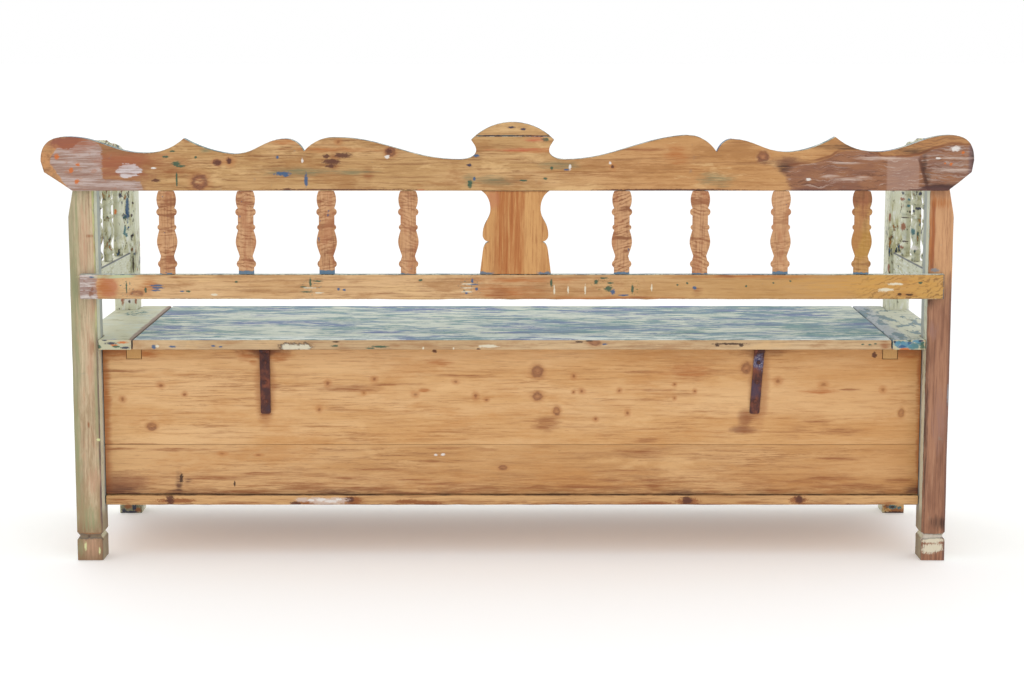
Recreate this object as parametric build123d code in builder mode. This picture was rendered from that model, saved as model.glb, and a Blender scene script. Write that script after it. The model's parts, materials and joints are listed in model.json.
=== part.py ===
"""A pine box settle whose box pulls out into a bed.

Four posts carry a boarded box, a scalloped back and two spindled arms. The seat is a lid
on two strap hinges. Under it a shallow bed box slides out at the front, between the front
posts, and stands on two legs that fold down behind its front board.

Frame: millimetres, +Z up, X along the bench, the front of the bench towards -Y, and the
origin on the floor under the middle of the bench. "left" is -X, as seen from the front.
"""
import math
import os

from build123d import *

os.makedirs("parts", exist_ok=True)

# ---------------------------------------------------------------- driving dimensions, mm
# posts
length_over_posts = 1800
depth_over_posts = 523
post_w = 51                  # along the bench
post_d = 65                  # front to back
post_edge = 2.5              # worn corner of a post
foot_h = 44                  # square foot block under the groove
foot_groove = 5              # depth of the V-groove above the foot block
foot_groove_h = 15
post_nip_h = 55              # the outer corner of a rear post is cut back over this height
post_nip = 10

# heights, stacked from the floor up
floor_top = 132              # top of the box's floor
box_top = 442                # underside of the seat
seat_t = 30                  # front edge of the seat boards
seat_fall = 8                # they are planed thinner to the back, so the seat slopes that way
seat_to_rail = 77            # from the seat to the lower rail
lower_rail_h = 52
spindle_l = 169
rear_lap_h = 68              # crests lapped on the tops of the posts
front_lap_h = 42

# boards and rails
board_t = 20                 # back, end and drawer side boards
floor_t = 22
rail_t = 22                  # crest and lower rail, lapped on the rear faces of the posts
lower_rail_inset = 20        # from the outer face of the post to the end of the rail
rail_edge = 1.5
back_recess = 45             # rear face of the back boards, in from the rear face of the posts
back_seam_z = 237
floor_ledge = 12             # the floor stands out behind the back boards
end_inset = 10               # end boards, in from the outer faces of the posts
sill_t = 28
sill_h = 40
floor_nose = 12              # floor in front of the sill

# crest rail: distances from the middle and heights above its lower edge
crest_overhang = 41
cap_half_w = 84
cap_h = 139
cap_eave_h = 103
cap_groove_h = 112
cap_groove = 1.6
neck_half_w = 74
neck_h = 84
collar_x = 108
collar_h = 64
shoulder_x = 350
shoulder_h = 110
notch_x = 413
notch_h = 81
lobe_x = 450
lobe_h = 108
lobe_bulge = 3               # of the lobe's sides beyond a straight line
dip_x = 562
dip_h = 75
peak_x = 653
peak_h = 109
hollow_x = 737
hollow_h = 76
end_hump_in = 52             # from the tip of the rail to the top of its end hump
end_hump_h = 112
tip_h = 62
chin_h = 38
chin_in = 4
heel_in = 49

# splat: half widths and heights above the lower rail
splat_top_half = 69
splat_waist_half = 53
splat_waist_h = 121
splat_belly_half = 67
splat_belly_h = 79
splat_belly_round = 2
splat_nick_half = 54
splat_nick_h = 66
splat_lobe_half = 67
splat_lobe_h = 44
splat_foot_half = 72.5
splat_off = -7               # the splat was nailed on off the middle

# split spindles: radii and heights above the lower rail
spindles_per_side = 4
spindle_end_gap = 144        # from the splat or the post to the nearest spindle's middle
spindle_off = (-3.5, -2, -1.5, -6, -6.5, -4, -3, -6)   # spaced by eye, from the left
spindle_neck_r = 16
spindle_foot_h = 14
spindle_low_bead_r = 20
spindle_low_bead_h = 28
spindle_stem_r = 13.5
spindle_stem_h = 37
spindle_vase_r = 21
spindle_vase_h = 64
spindle_shoulder_h = 90
spindle_ring_r = 19.5
spindle_ring_h = 101
spindle_bead_r = 21
spindle_bead_low_h = 119
spindle_bead_top_h = 134
spindle_top_r = 20

# arms
arm_crest_t = 32             # lapped into the inner faces of the posts
arm_nose = 22                # beyond the front face of the front post
arm_rear_h = 74
arm_dip_h = 70
arm_dip_from_rear = 52
arm_peak_h = 95
arm_peak_from_rear = 160
arm_hollow_h = 47
arm_hollow_from_rear = 385
arm_ear_h = 52
arm_ear_in = 44
arm_tip_h = 30
arm_chin_h = 18
arm_chin_in = 3
arm_heel_in = 28
arm_rail_t = 30
arm_spindle_in = 9.5         # flat faces of the arm's spindles, in from the rail's outer face
arm_spindles = 3
arm_spindle_end_gap = 76

# seat
side_board_w = 70            # fixed boards at the ends, with their seams, in from the posts
seat_seam = 2                # between the lid and the side boards
seat_rear_inset = 1.5        # rear edge of the seat, in from the rear face of the posts
seat_edge = 2
bearer_w = 32
bearer_h = 25
bearer_off = 4               # further out than the seam that it carries
bearer_end_gap = 2           # from the bearer's front end to the drawer front
lid_strip_w = 95.5             # narrow board along the rear edge
lid_middle_w = 208
lid_board_gap = 0.8
lid_batten_w = 60
lid_batten_t = 20
lid_batten_in = 159          # from the end of the lid to the middle of an outer batten
lid_batten_rear_gap = 12     # from the back boards
lid_batten_front_gap = 8     # from the drawer front

# strap hinges
hinge_in = 266               # from the end of the lid to the middle of a strap
hinge_w = 21
hinge_leaf_t = 3
hinge_barrel_r = 5
hinge_pin_r = 2.5
hinge_run = 0.05             # pin in its holes
hinge_side_gap = 0.4         # between the knuckles
hinge_off = 0.5              # barrel clear of the wood
strap_l = 128
strap_lean_left = 9          # how far the lower end leans towards the middle
strap_lean_right = 1
strap_round = 4
leaf_l = 120
leaf_gain = 4                # depth of the gain in the back board under the leaf
leaf_gain_side = 1.5
nail_r = 4.2
nail_h = 2
nail_edge = 0.8
nail_first = 26              # down the strap, from the barrel
nail_pitch = 41
nails_per_strap = 3

# drawer, the part that pulls out
drawer_side_gap = 1.5        # beside the front posts
drawer_run = 0.5             # over the floor and under the seat
drawer_front_z = 98          # lower edge of the drawer front
front_board_t = 18
front_frame_t = 8            # planted frame on the front board
front_rail_h = 62
front_stile_w = 84
front_muntin_w = 74
frame_edge = 2
drawer_side_h = 164
drawer_rear_gap = 5          # behind the drawer, to the back boards
drawer_back_h = 70
drawer_back_t = 18
slat_count = 5
slat_w = 58
slat_t = 16
stop_l = 30
stop_t = 19
stop_h = 60
stop_lift = 44
stop_run = 0.5

# folding legs under the drawer front
leg_in = 209                 # from the inner face of the post to the leg's bolt
leg_w = 40
leg_t = 18
leg_run = 0.5                # between the leg and the front board
leg_clear = 2                # foot of the leg above the floor
leg_pivot_z = 140
bolt_r = 4
bolt_run = 0.05
bolt_head_r = 9
bolt_head_h = 3
washer_r = 10
washer_t = 1
nut_w = 13
nut_t = 5

rest_gap = 0.3               # flat faces of two bodies that rest on each other

# ---------------------------------------------------------------- places worked out from them
outer_x = length_over_posts / 2
inner_x = outer_x - post_w
rear_y = depth_over_posts / 2
rear_in_y = rear_y - post_d
front_y = -rear_y
front_in_y = front_y + post_d
back_rear_y = rear_y - back_recess
back_front_y = back_rear_y - board_t
seat_top = box_top + seat_t
lower_rail_z = seat_top + seat_to_rail
lower_rail_top = lower_rail_z + lower_rail_h
crest_z = lower_rail_top + spindle_l
rear_post_h = crest_z + rear_lap_h
front_post_h = crest_z + front_lap_h
floor_bottom = floor_top - floor_t
floor_front_y = front_in_y - floor_nose
end_outer_x = outer_x - end_inset
end_inner_x = end_outer_x - board_t
crest_half_l = outer_x + crest_overhang
seat_half_l = inner_x - side_board_w
lid_batten_x = seat_half_l - lid_batten_in
hinge_x = seat_half_l - hinge_in
leg_x = inner_x - leg_in
seat_rear_y = rear_y - seat_rear_inset
side_board_x = seat_half_l + seat_seam
bearer_x = (seat_half_l + side_board_x) / 2 + bearer_off
front_board_rear_y = front_y + front_frame_t + front_board_t
front_board_y = front_y + front_frame_t
drawer_top = box_top - drawer_run
drawer_bottom = floor_top + drawer_run
drawer_half_l = inner_x - drawer_side_gap
drawer_rear_y = back_front_y - drawer_rear_gap
drawer_inner_x = drawer_half_l - board_t
arm_crest_outer_x = inner_x + arm_crest_t
arm_rail_inner_x = outer_x - (post_w - arm_rail_t) / 2 - arm_rail_t
arm_rail_outer_x = arm_rail_inner_x + arm_rail_t
hinge_y = back_rear_y + hinge_barrel_r + hinge_off
hinge_z = box_top - hinge_barrel_r - hinge_off
hinge_hole_r = hinge_pin_r + hinge_run
leg_front_y = front_board_rear_y + leg_run
bolt_hole_r = bolt_r + bolt_run
sides = (("left", -1), ("right", 1))


# ---------------------------------------------------------------- helpers
def slab(x, y, z, mode=Mode.ADD):
    """Add or cut a box between a low and a high limit on each axis."""
    with Locations(((x[0] + x[1]) / 2, (y[0] + y[1]) / 2, (z[0] + z[1]) / 2)):
        Box(x[1] - x[0], y[1] - y[0], z[1] - z[0], mode=mode)


def on_side(sign, inner, outer):
    """Limits along X of something between two distances from the middle."""
    return tuple(sorted((sign * inner, sign * outer)))


def rod(radius, start, end, axis, at, mode=Mode.ADD):
    """Add or cut a round rod along X or Y, from start to end, centred on the point at."""
    middle = (start + end) / 2
    if axis == "X":
        place, turn = (middle, at[0], at[1]), (0, 90, 0)
    else:
        place, turn = (at[0], middle, at[1]), (90, 0, 0)
    with Locations(place):
        Cylinder(radius, abs(end - start), rotation=turn, mode=mode)


def finish(piece, name):
    """Label a finished piece and write its STEP file."""
    piece.part.label = name
    export_step(piece.part, f"parts/{name}.step")


# ---------------------------------------------------------------- posts
def post_blank(x, y, height):
    """A square post with worn corners, standing on a foot block under a V-groove."""
    def section(level, inset):
        with BuildSketch(Plane.XY.offset(level)) as outline:
            with Locations((x, y)):
                Rectangle(post_w - 2 * inset, post_d - 2 * inset)
            chamfer(outline.vertices(), post_edge)
        return outline.sketch

    half = foot_groove_h / 2
    flare = math.degrees(math.atan(foot_groove / half))
    extrude(section(0, 0), amount=foot_h)
    extrude(section(foot_h, 0), amount=half, taper=flare)
    extrude(section(foot_h + half, foot_groove), amount=half, taper=-flare)
    extrude(section(foot_h + foot_groove_h, 0), amount=height - foot_h - foot_groove_h)


for side, sign in sides:
    x_mid = sign * (outer_x - post_w / 2)

    with BuildPart() as rear_post:
        post_blank(x_mid, rear_y - post_d / 2, rear_post_h)
        # the outer corner is cut back towards the crest rail
        with BuildSketch(Plane.XZ.offset(-rear_y)):
            with BuildLine():
                Polyline(
                    (sign * outer_x, crest_z - post_nip_h),
                    (sign * (outer_x - post_nip), crest_z),
                    (sign * (outer_x - post_nip), rear_post_h),
                    (sign * (outer_x + post_nip), rear_post_h),
                    (sign * (outer_x + post_nip), crest_z - post_nip_h),
                    close=True,
                )
            make_face()
        extrude(amount=post_d, mode=Mode.SUBTRACT)
        # lap for the arm's crest
        slab(on_side(sign, inner_x, arm_crest_outer_x), (rear_in_y, rear_y), (crest_z, rear_post_h),
             Mode.SUBTRACT)
    finish(rear_post, f"rear_post_{side}")

    with BuildPart() as front_post:
        post_blank(x_mid, front_y + post_d / 2, front_post_h)
        slab(on_side(sign, inner_x, arm_crest_outer_x), (front_y, front_in_y), (crest_z, front_post_h),
             Mode.SUBTRACT)
    finish(front_post, f"front_post_{side}")


# ---------------------------------------------------------------- crest rail of the back
tip_x = crest_half_l
hump_x = tip_x - end_hump_in


def crest(distance, height):
    """A point of the crest's outline, from the middle and from its lower edge."""
    return (distance, crest_z + height)


with BuildPart() as crest_rail:
    with BuildSketch(Plane.XZ.offset(-rear_y)):
        with BuildLine():
            # domed cap with a sharp eave over a cove
            RadiusArc(crest(0, cap_h), crest(cap_half_w, cap_eave_h),
                      (cap_half_w ** 2 + (cap_h - cap_eave_h) ** 2) / (2 * (cap_h - cap_eave_h)))
            Spline(crest(cap_half_w, cap_eave_h), crest(neck_half_w, neck_h), crest(collar_x, collar_h),
                   tangents=((-0.7, -1), (1, 0)))
            # long swept shoulder, a notch and a lobe
            Spline(crest(collar_x, collar_h), crest(shoulder_x, shoulder_h), tangents=((1, 0), (1, 0)))
            ThreePointArc(crest(shoulder_x, shoulder_h),
                          crest((shoulder_x + 2 * notch_x) / 3, (shoulder_h + notch_h) / 2 + lobe_bulge),
                          crest(notch_x, notch_h))
            ThreePointArc(crest(notch_x, notch_h),
                          crest((2 * notch_x + lobe_x) / 3, (notch_h + lobe_h) / 2 + lobe_bulge),
                          crest(lobe_x, lobe_h))
            Spline(crest(lobe_x, lobe_h), crest(dip_x, dip_h), tangents=((1, 0), (1, 0)))
            # a pointed peak between two hollows
            ThreePointArc(crest(dip_x, dip_h), crest((dip_x + peak_x) / 2, dip_h + (peak_h - dip_h) / 3),
                          crest(peak_x, peak_h))
            ThreePointArc(crest(peak_x, peak_h),
                          crest((peak_x + hollow_x) / 2, hollow_h + (peak_h - hollow_h) / 4),
                          crest(hollow_x, hollow_h))
            # the end hump and the rounded tip with its cut-away chin
            Spline(crest(hollow_x, hollow_h), crest(hump_x, end_hump_h), tangents=((1, 0), (1, 0)))
            Spline(crest(hump_x, end_hump_h), crest(tip_x, tip_h), tangents=((1, 0), (0, -1)))
            Polyline(crest(tip_x, tip_h), crest(tip_x - chin_in, chin_h), crest(tip_x - heel_in, 0),
                     crest(0, 0), crest(0, cap_h))
        make_face()
        mirror(about=Plane.YZ)
    extrude(amount=-rail_t)
    # the line cut across the cap, on both faces
    for face_y in (rear_y, rear_y + rail_t):
        slab((-cap_half_w, cap_half_w), (face_y - cap_groove, face_y + cap_groove),
             (crest_z + cap_groove_h - cap_groove, crest_z + cap_groove_h), Mode.SUBTRACT)
finish(crest_rail, "crest_rail")

# ---------------------------------------------------------------- lower back rail
with BuildPart() as lower_back_rail:
    slab((-outer_x + lower_rail_inset, outer_x - lower_rail_inset), (rear_y, rear_y + rail_t),
         (lower_rail_z, lower_rail_top))
    chamfer(lower_back_rail.faces().sort_by(Axis.Y)[-1].edges(), rail_edge)
finish(lower_back_rail, "lower_back_rail")


# ---------------------------------------------------------------- splat
def splat_point(half, height):
    """A point of the splat's outline, from its middle line and above the lower rail."""
    return (half, height)


with BuildPart() as back_splat:
    with BuildSketch(Plane(origin=(splat_off, rear_y, lower_rail_top), x_dir=(1, 0, 0), z_dir=(0, -1, 0))) as outline:
        with BuildLine():
            Spline(splat_point(splat_top_half, spindle_l), splat_point(splat_waist_half, splat_waist_h),
                   splat_point(splat_belly_half, splat_belly_h), tangents=((-1, -0.6), (0, -1)))
            ThreePointArc(splat_point(splat_belly_half, splat_belly_h),
                          splat_point(splat_belly_half - splat_belly_round, (splat_belly_h + splat_nick_h) / 2),
                          splat_point(splat_nick_half, splat_nick_h))
            Spline(splat_point(splat_nick_half, splat_nick_h), splat_point(splat_lobe_half, splat_lobe_h),
                   splat_point(splat_foot_half, 0), tangents=((1, -0.2), (0.1, -1)))
            Polyline(splat_point(splat_foot_half, 0), splat_point(0, 0), splat_point(0, spindle_l),
                     splat_point(splat_top_half, spindle_l))
        make_face()
        mirror(about=Plane.YZ)
    extrude(amount=-rail_t)
finish(back_splat, "back_splat")


# ---------------------------------------------------------------- split spindles
def split_spindle(foot):
    """Half of a turning, standing on the foot plane: sawn flat on its y = 0 side, round towards -y.

    The plane's x runs out along the radius and its y runs up the spindle.
    """
    with BuildSketch(foot) as profile:
        with BuildLine():
            Polyline((spindle_neck_r, spindle_l), (0, spindle_l), (0, 0), (spindle_neck_r, 0),
                     (spindle_neck_r, spindle_foot_h))
            # low bead, thin stem, vase
            ThreePointArc((spindle_neck_r, spindle_foot_h),
                          (spindle_low_bead_r, (spindle_foot_h + spindle_low_bead_h) / 2),
                          (spindle_neck_r, spindle_low_bead_h))
            Line((spindle_neck_r, spindle_low_bead_h), (spindle_stem_r, spindle_stem_h))
            Spline((spindle_stem_r, spindle_stem_h), (spindle_vase_r, spindle_vase_h),
                   (spindle_neck_r, spindle_shoulder_h), tangents=((0.3, 1), (-0.3, 1)))
            # ring and cove
            ThreePointArc((spindle_neck_r, spindle_shoulder_h),
                          (spindle_ring_r, (spindle_shoulder_h + spindle_ring_h) / 2),
                          (spindle_neck_r, spindle_ring_h))
            Line((spindle_neck_r, spindle_ring_h), (spindle_neck_r, spindle_bead_low_h))
            # bead and swelling top
            ThreePointArc((spindle_neck_r, spindle_bead_low_h),
                          (spindle_bead_r, (spindle_bead_low_h + spindle_bead_top_h) / 2),
                          (spindle_neck_r, spindle_bead_top_h))
            ThreePointArc((spindle_neck_r, spindle_bead_top_h),
                          (spindle_top_r, (spindle_bead_top_h + spindle_l) / 2),
                          (spindle_neck_r, spindle_l))
        make_face()
    revolve(profile.sketch, axis=Axis(foot.origin, (0, 0, 1)), revolution_arc=180)


first_spindle_x = splat_foot_half + spindle_end_gap
last_spindle_x = inner_x - spindle_end_gap
spindle_pitch = (last_spindle_x - first_spindle_x) / (spindles_per_side - 1)
spindle_places = [first_spindle_x + spindle_pitch * step for step in range(spindles_per_side)]
spindle_places = [-place for place in reversed(spindle_places)] + spindle_places

for number, (place, off) in enumerate(zip(spindle_places, spindle_off), start=1):
    place += off
    with BuildPart() as back_spindle:
        split_spindle(Plane(origin=(place, rear_y + rail_t, lower_rail_top), x_dir=(-1, 0, 0), z_dir=(0, 1, 0)))
    finish(back_spindle, f"back_spindle_{number}")


# ---------------------------------------------------------------- arms
def arm(from_rear, height):
    """A point of the arm crest's outline, from the rear face of the posts and its lower edge."""
    return (rear_y - from_rear, crest_z + height)


arm_l = depth_over_posts + arm_nose
arm_spindle_pitch = (depth_over_posts - 2 * post_d - 2 * arm_spindle_end_gap) / (arm_spindles - 1)

for side, sign in sides:
    with BuildPart() as arm_crest:
        with BuildSketch(Plane.YZ.offset(sign * inner_x)):
            with BuildLine():
                Spline(arm(0, arm_rear_h), arm(arm_dip_from_rear, arm_dip_h), tangents=((-1, -0.1), (-1, 0)))
                ThreePointArc(arm(arm_dip_from_rear, arm_dip_h),
                              arm((arm_dip_from_rear + arm_peak_from_rear) / 2, (2 * arm_dip_h + arm_peak_h) / 3),
                              arm(arm_peak_from_rear, arm_peak_h))
                ThreePointArc(arm(arm_peak_from_rear, arm_peak_h),
                              arm((arm_peak_from_rear + arm_hollow_from_rear) / 2,
                                  (2 * arm_hollow_h + arm_peak_h) / 3),
                              arm(arm_hollow_from_rear, arm_hollow_h))
                Spline(arm(arm_hollow_from_rear, arm_hollow_h), arm(arm_l - arm_ear_in, arm_ear_h),
                       tangents=((-1, 0), (-1, 0)))
                Spline(arm(arm_l - arm_ear_in, arm_ear_h), arm(arm_l, arm_tip_h), tangents=((-1, 0), (0, -1)))
                Polyline(arm(arm_l, arm_tip_h), arm(arm_l - arm_chin_in, arm_chin_h),
                         arm(arm_l - arm_heel_in, 0), arm(0, 0), arm(0, arm_rear_h))
            make_face()
        extrude(amount=sign * arm_crest_t)
    finish(arm_crest, f"arm_crest_{side}")

    with BuildPart() as arm_lower_rail:
        slab(on_side(sign, arm_rail_inner_x, arm_rail_outer_x), (front_in_y, rear_in_y),
             (lower_rail_z, lower_rail_top))
    finish(arm_lower_rail, f"arm_lower_rail_{side}")

    for number in range(1, arm_spindles + 1):
        y_place = rear_in_y - arm_spindle_end_gap - arm_spindle_pitch * (number - 1)
        with BuildPart() as arm_spindle:
            split_spindle(Plane(origin=(sign * (arm_rail_outer_x - arm_spindle_in), y_place, lower_rail_top),
                                x_dir=(0, sign, 0), z_dir=(sign, 0, 0)))
        finish(arm_spindle, f"arm_spindle_{side}_{number}")

# ---------------------------------------------------------------- box: back, ends, floor, sill
with BuildPart() as back_board_upper:
    slab((-inner_x, inner_x), (back_front_y, back_rear_y), (back_seam_z, box_top))
    for sign in (-1, 1):
        # notch for the seat bearer, and the gain under the hinge leaf
        slab(on_side(sign, bearer_x - bearer_w / 2, bearer_x + bearer_w / 2), (back_front_y, back_rear_y),
             (box_top - bearer_h, box_top), Mode.SUBTRACT)
        gain_half = hinge_w / 2 + leaf_gain_side
        slab(on_side(sign, hinge_x - gain_half, hinge_x + gain_half), (back_front_y, back_rear_y),
             (box_top - leaf_gain, box_top), Mode.SUBTRACT)
finish(back_board_upper, "back_board_upper")

with BuildPart() as back_board_lower:
    slab((-inner_x, inner_x), (back_front_y, back_rear_y), (floor_top, back_seam_z))
finish(back_board_lower, "back_board_lower")

for side, sign in sides:
    with BuildPart() as end_board:
        slab(on_side(sign, end_inner_x, end_outer_x), (front_in_y, rear_in_y), (floor_top, box_top))
    finish(end_board, f"end_board_{side}")

floor_seam_y = (back_front_y + floor_front_y) / 2
with BuildPart() as floor_board_rear:
    slab((-inner_x, inner_x), (floor_seam_y, back_rear_y + floor_ledge), (floor_bottom, floor_top))
    slab((-end_outer_x, end_outer_x), (floor_seam_y, rear_in_y), (floor_bottom, floor_top))
finish(floor_board_rear, "floor_board_rear")

with BuildPart() as floor_board_front:
    slab((-inner_x, inner_x), (floor_front_y, floor_seam_y), (floor_bottom, floor_top))
    slab((-end_outer_x, end_outer_x), (front_in_y, floor_seam_y), (floor_bottom, floor_top))
finish(floor_board_front, "floor_board_front")

with BuildPart() as front_sill:
    slab((-end_inner_x, end_inner_x), (front_in_y, front_in_y + sill_t), (floor_bottom - sill_h, floor_bottom))
finish(front_sill, "front_sill")

# ---------------------------------------------------------------- fixed part of the seat
def seat_board(x, y, bottom):
    """A board of the seat between limits along X and Y, with its top on the sloping plane of the seat."""
    fall = seat_fall / (seat_rear_y - front_y)
    low_top, high_top = (seat_top - fall * (edge - front_y) for edge in y)
    with BuildSketch(Plane.YZ.offset(x[0])) as section:
        with BuildLine():
            Polyline((y[0], bottom), (y[1], bottom), (y[1], high_top), (y[0], low_top), close=True)
        make_face()
    extrude(section.sketch, amount=x[1] - x[0])


for side, sign in sides:
    with BuildPart() as seat_side_board:
        seat_board(on_side(sign, side_board_x, inner_x), (front_y, seat_rear_y), box_top)
        seat_board(on_side(sign, side_board_x, outer_x), (front_in_y, rear_in_y), box_top)
        chamfer(seat_side_board.faces().sort_by(Axis.Z)[-1].edges().filter_by(Axis.X, reverse=True), seat_edge)
    finish(seat_side_board, f"seat_side_board_{side}")

    with BuildPart() as seat_bearer:
        slab(on_side(sign, bearer_x - bearer_w / 2, bearer_x + bearer_w / 2),
             (front_board_rear_y + bearer_end_gap, back_rear_y), (box_top - bearer_h, box_top))
    finish(seat_bearer, f"seat_bearer_{side}")

# ---------------------------------------------------------------- strap hinges, fixed leaves
knuckle_w = (hinge_w - 2 * hinge_side_gap) / 3
strap_top_z = hinge_z
strap_bottom_z = strap_top_z - strap_l

for side, sign in sides:
    lean = strap_lean_left if sign < 0 else strap_lean_right
    x_low = sign * hinge_x - hinge_w / 2
    x_high = sign * hinge_x + hinge_w / 2
    with BuildPart() as hinge_strap:
        with BuildSketch(Plane.XZ.offset(-back_rear_y)) as outline:
            with BuildLine():
                Polyline((x_low, strap_top_z), (x_high, strap_top_z),
                         (x_high - sign * lean, strap_bottom_z), (x_low - sign * lean, strap_bottom_z), close=True)
            make_face()
            fillet(outline.vertices().group_by(Axis.Y)[0], strap_round)
        extrude(amount=-hinge_leaf_t)
        # the barrel needs room for the moving knuckle in its middle
        slab((x_low + knuckle_w, x_high - knuckle_w), (back_rear_y, back_rear_y + hinge_leaf_t),
             (hinge_z - hinge_barrel_r - hinge_off, strap_top_z), Mode.SUBTRACT)
        for start in (x_low, x_high - knuckle_w):
            rod(hinge_barrel_r, start, start + knuckle_w, "X", (hinge_y, hinge_z))
        rod(hinge_hole_r, x_low, x_high, "X", (hinge_y, hinge_z), Mode.SUBTRACT)
    finish(hinge_strap, f"hinge_strap_{side}")

with BuildPart() as hinge_pins:
    for side, sign in sides:
        rod(hinge_pin_r, sign * hinge_x - hinge_w / 2, sign * hinge_x + hinge_w / 2, "X", (hinge_y, hinge_z))
finish(hinge_pins, "hinge_pins")

with BuildPart() as hinge_nails:
    for side, sign in sides:
        lean = strap_lean_left if sign < 0 else strap_lean_right
        for number in range(nails_per_strap):
            step = nail_first + number * nail_pitch
            x_nail = sign * (hinge_x - lean * step / strap_l)
            head_y = back_rear_y + hinge_leaf_t
            rod(nail_r, head_y, head_y + nail_h, "Y", (x_nail, strap_top_z - step))
    chamfer(hinge_nails.faces().filter_by(Axis.Y).group_by(Axis.Y)[-1].edges(), nail_edge)
finish(hinge_nails, "hinge_nails")

# ---------------------------------------------------------------- lid
lid_bottom = box_top + rest_gap
strip_front_y = seat_rear_y - lid_strip_w
middle_front_y = strip_front_y - lid_middle_w
lid_boards = (
    ("lid_board_rear", strip_front_y + lid_board_gap, seat_rear_y),
    ("lid_board_middle", middle_front_y + lid_board_gap, strip_front_y),
    ("lid_board_front", front_y, middle_front_y),
)
for name, y_low, y_high in lid_boards:
    with BuildPart() as lid_board:
        seat_board((-seat_half_l, seat_half_l), (y_low, y_high), lid_bottom)
        chamfer(lid_board.faces().sort_by(Axis.Z)[-1].edges(), seat_edge)
    finish(lid_board, name)

with BuildPart() as lid_battens:
    for x_mid in (-lid_batten_x, 0, lid_batten_x):
        slab((x_mid - lid_batten_w / 2, x_mid + lid_batten_w / 2),
             (front_board_rear_y + lid_batten_front_gap, back_front_y - lid_batten_rear_gap),
             (lid_bottom - lid_batten_t, lid_bottom))
    chamfer(lid_battens.faces().filter_by(Axis.Z).group_by(Axis.Z)[0].edges().filter_by(Axis.Y), seat_edge)
finish(lid_battens, "lid_battens")

for side, sign in sides:
    x_mid = sign * hinge_x
    with BuildPart() as hinge_leaf:
        with BuildSketch(Plane.XY.offset(lid_bottom)) as outline:
            with Locations((x_mid, hinge_y - leaf_l / 2)):
                Rectangle(hinge_w, leaf_l)
            fillet(outline.vertices().group_by(Axis.Y)[0], strap_round)
        extrude(amount=-hinge_leaf_t)
        # clear the fixed knuckles, then add the moving one
        for start in (x_mid - hinge_w / 2, x_mid + hinge_w / 2 - knuckle_w - hinge_side_gap):
            slab((start, start + knuckle_w + hinge_side_gap),
                 (hinge_y - hinge_barrel_r - hinge_off, hinge_y), (lid_bottom - hinge_leaf_t, lid_bottom),
                 Mode.SUBTRACT)
        rod(hinge_barrel_r, x_mid - knuckle_w / 2, x_mid + knuckle_w / 2, "X", (hinge_y, hinge_z))
        rod(hinge_hole_r, x_mid - hinge_w / 2, x_mid + hinge_w / 2, "X", (hinge_y, hinge_z), Mode.SUBTRACT)
    finish(hinge_leaf, f"hinge_leaf_{side}")

# ---------------------------------------------------------------- drawer front
with BuildPart() as drawer_front_board:
    slab((-drawer_half_l, drawer_half_l), (front_board_y, front_board_rear_y), (drawer_front_z, drawer_top))
    for sign in (-1, 1):
        rod(bolt_hole_r, front_board_y, front_board_rear_y, "Y", (sign * leg_x, leg_pivot_z), Mode.SUBTRACT)
finish(drawer_front_board, "drawer_front_board")

rail_limits = (
    ("drawer_top_rail", drawer_top - front_rail_h, drawer_top),
    ("drawer_bottom_rail", drawer_front_z, drawer_front_z + front_rail_h),
)
for name, z_low, z_high in rail_limits:
    with BuildPart() as front_rail:
        slab((-drawer_half_l, drawer_half_l), (front_y, front_board_y), (z_low, z_high))
        chamfer(front_rail.faces().sort_by(Axis.Y)[0].edges().filter_by(Axis.X), frame_edge)
        if name == "drawer_bottom_rail":
            for sign in (-1, 1):
                rod(bolt_hole_r, front_y, front_board_y, "Y", (sign * leg_x, leg_pivot_z), Mode.SUBTRACT)
    finish(front_rail, name)

field_z = (drawer_front_z + front_rail_h, drawer_top - front_rail_h)
for side, sign in sides:
    with BuildPart() as front_stile:
        slab(on_side(sign, drawer_half_l - front_stile_w, drawer_half_l), (front_y, front_board_y), field_z)
        chamfer(front_stile.faces().sort_by(Axis.Y)[0].edges().filter_by(Axis.Z), frame_edge)
    finish(front_stile, f"drawer_stile_{side}")

field_pitch = (2 * (drawer_half_l - front_stile_w) + front_muntin_w) / 3
with BuildPart() as drawer_muntins:
    for sign in (-1, 1):
        x_mid = sign * field_pitch / 2
        slab((x_mid - front_muntin_w / 2, x_mid + front_muntin_w / 2), (front_y, front_board_y), field_z)
    chamfer(drawer_muntins.faces().filter_by(Axis.Y).group_by(Axis.Y)[0].edges().filter_by(Axis.Z), frame_edge)
finish(drawer_muntins, "drawer_muntins")

# ---------------------------------------------------------------- drawer sides, back, slats, stops
for side, sign in sides:
    with BuildPart() as drawer_side:
        slab(on_side(sign, drawer_inner_x, drawer_half_l), (front_board_rear_y, drawer_rear_y),
             (drawer_bottom, drawer_bottom + drawer_side_h))
        chamfer(drawer_side.faces().sort_by(Axis.Z)[-1].edges().filter_by(Axis.Y), seat_edge)
    finish(drawer_side, f"drawer_side_{side}")

with BuildPart() as drawer_back:
    slab((-drawer_inner_x, drawer_inner_x), (drawer_rear_y - drawer_back_t, drawer_rear_y),
         (drawer_bottom, drawer_bottom + drawer_back_h))
finish(drawer_back, "drawer_back")

slats_front_y = floor_front_y
slats_rear_y = drawer_rear_y - drawer_back_t
slat_gap = (slats_rear_y - slats_front_y - slat_count * slat_w) / slat_count
with BuildPart() as drawer_slats:
    for number in range(slat_count):
        y_low = slats_front_y + number * (slat_w + slat_gap)
        slab((-drawer_inner_x, drawer_inner_x), (y_low, y_low + slat_w), (drawer_bottom, drawer_bottom + slat_t))
finish(drawer_slats, "drawer_slats")

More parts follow.
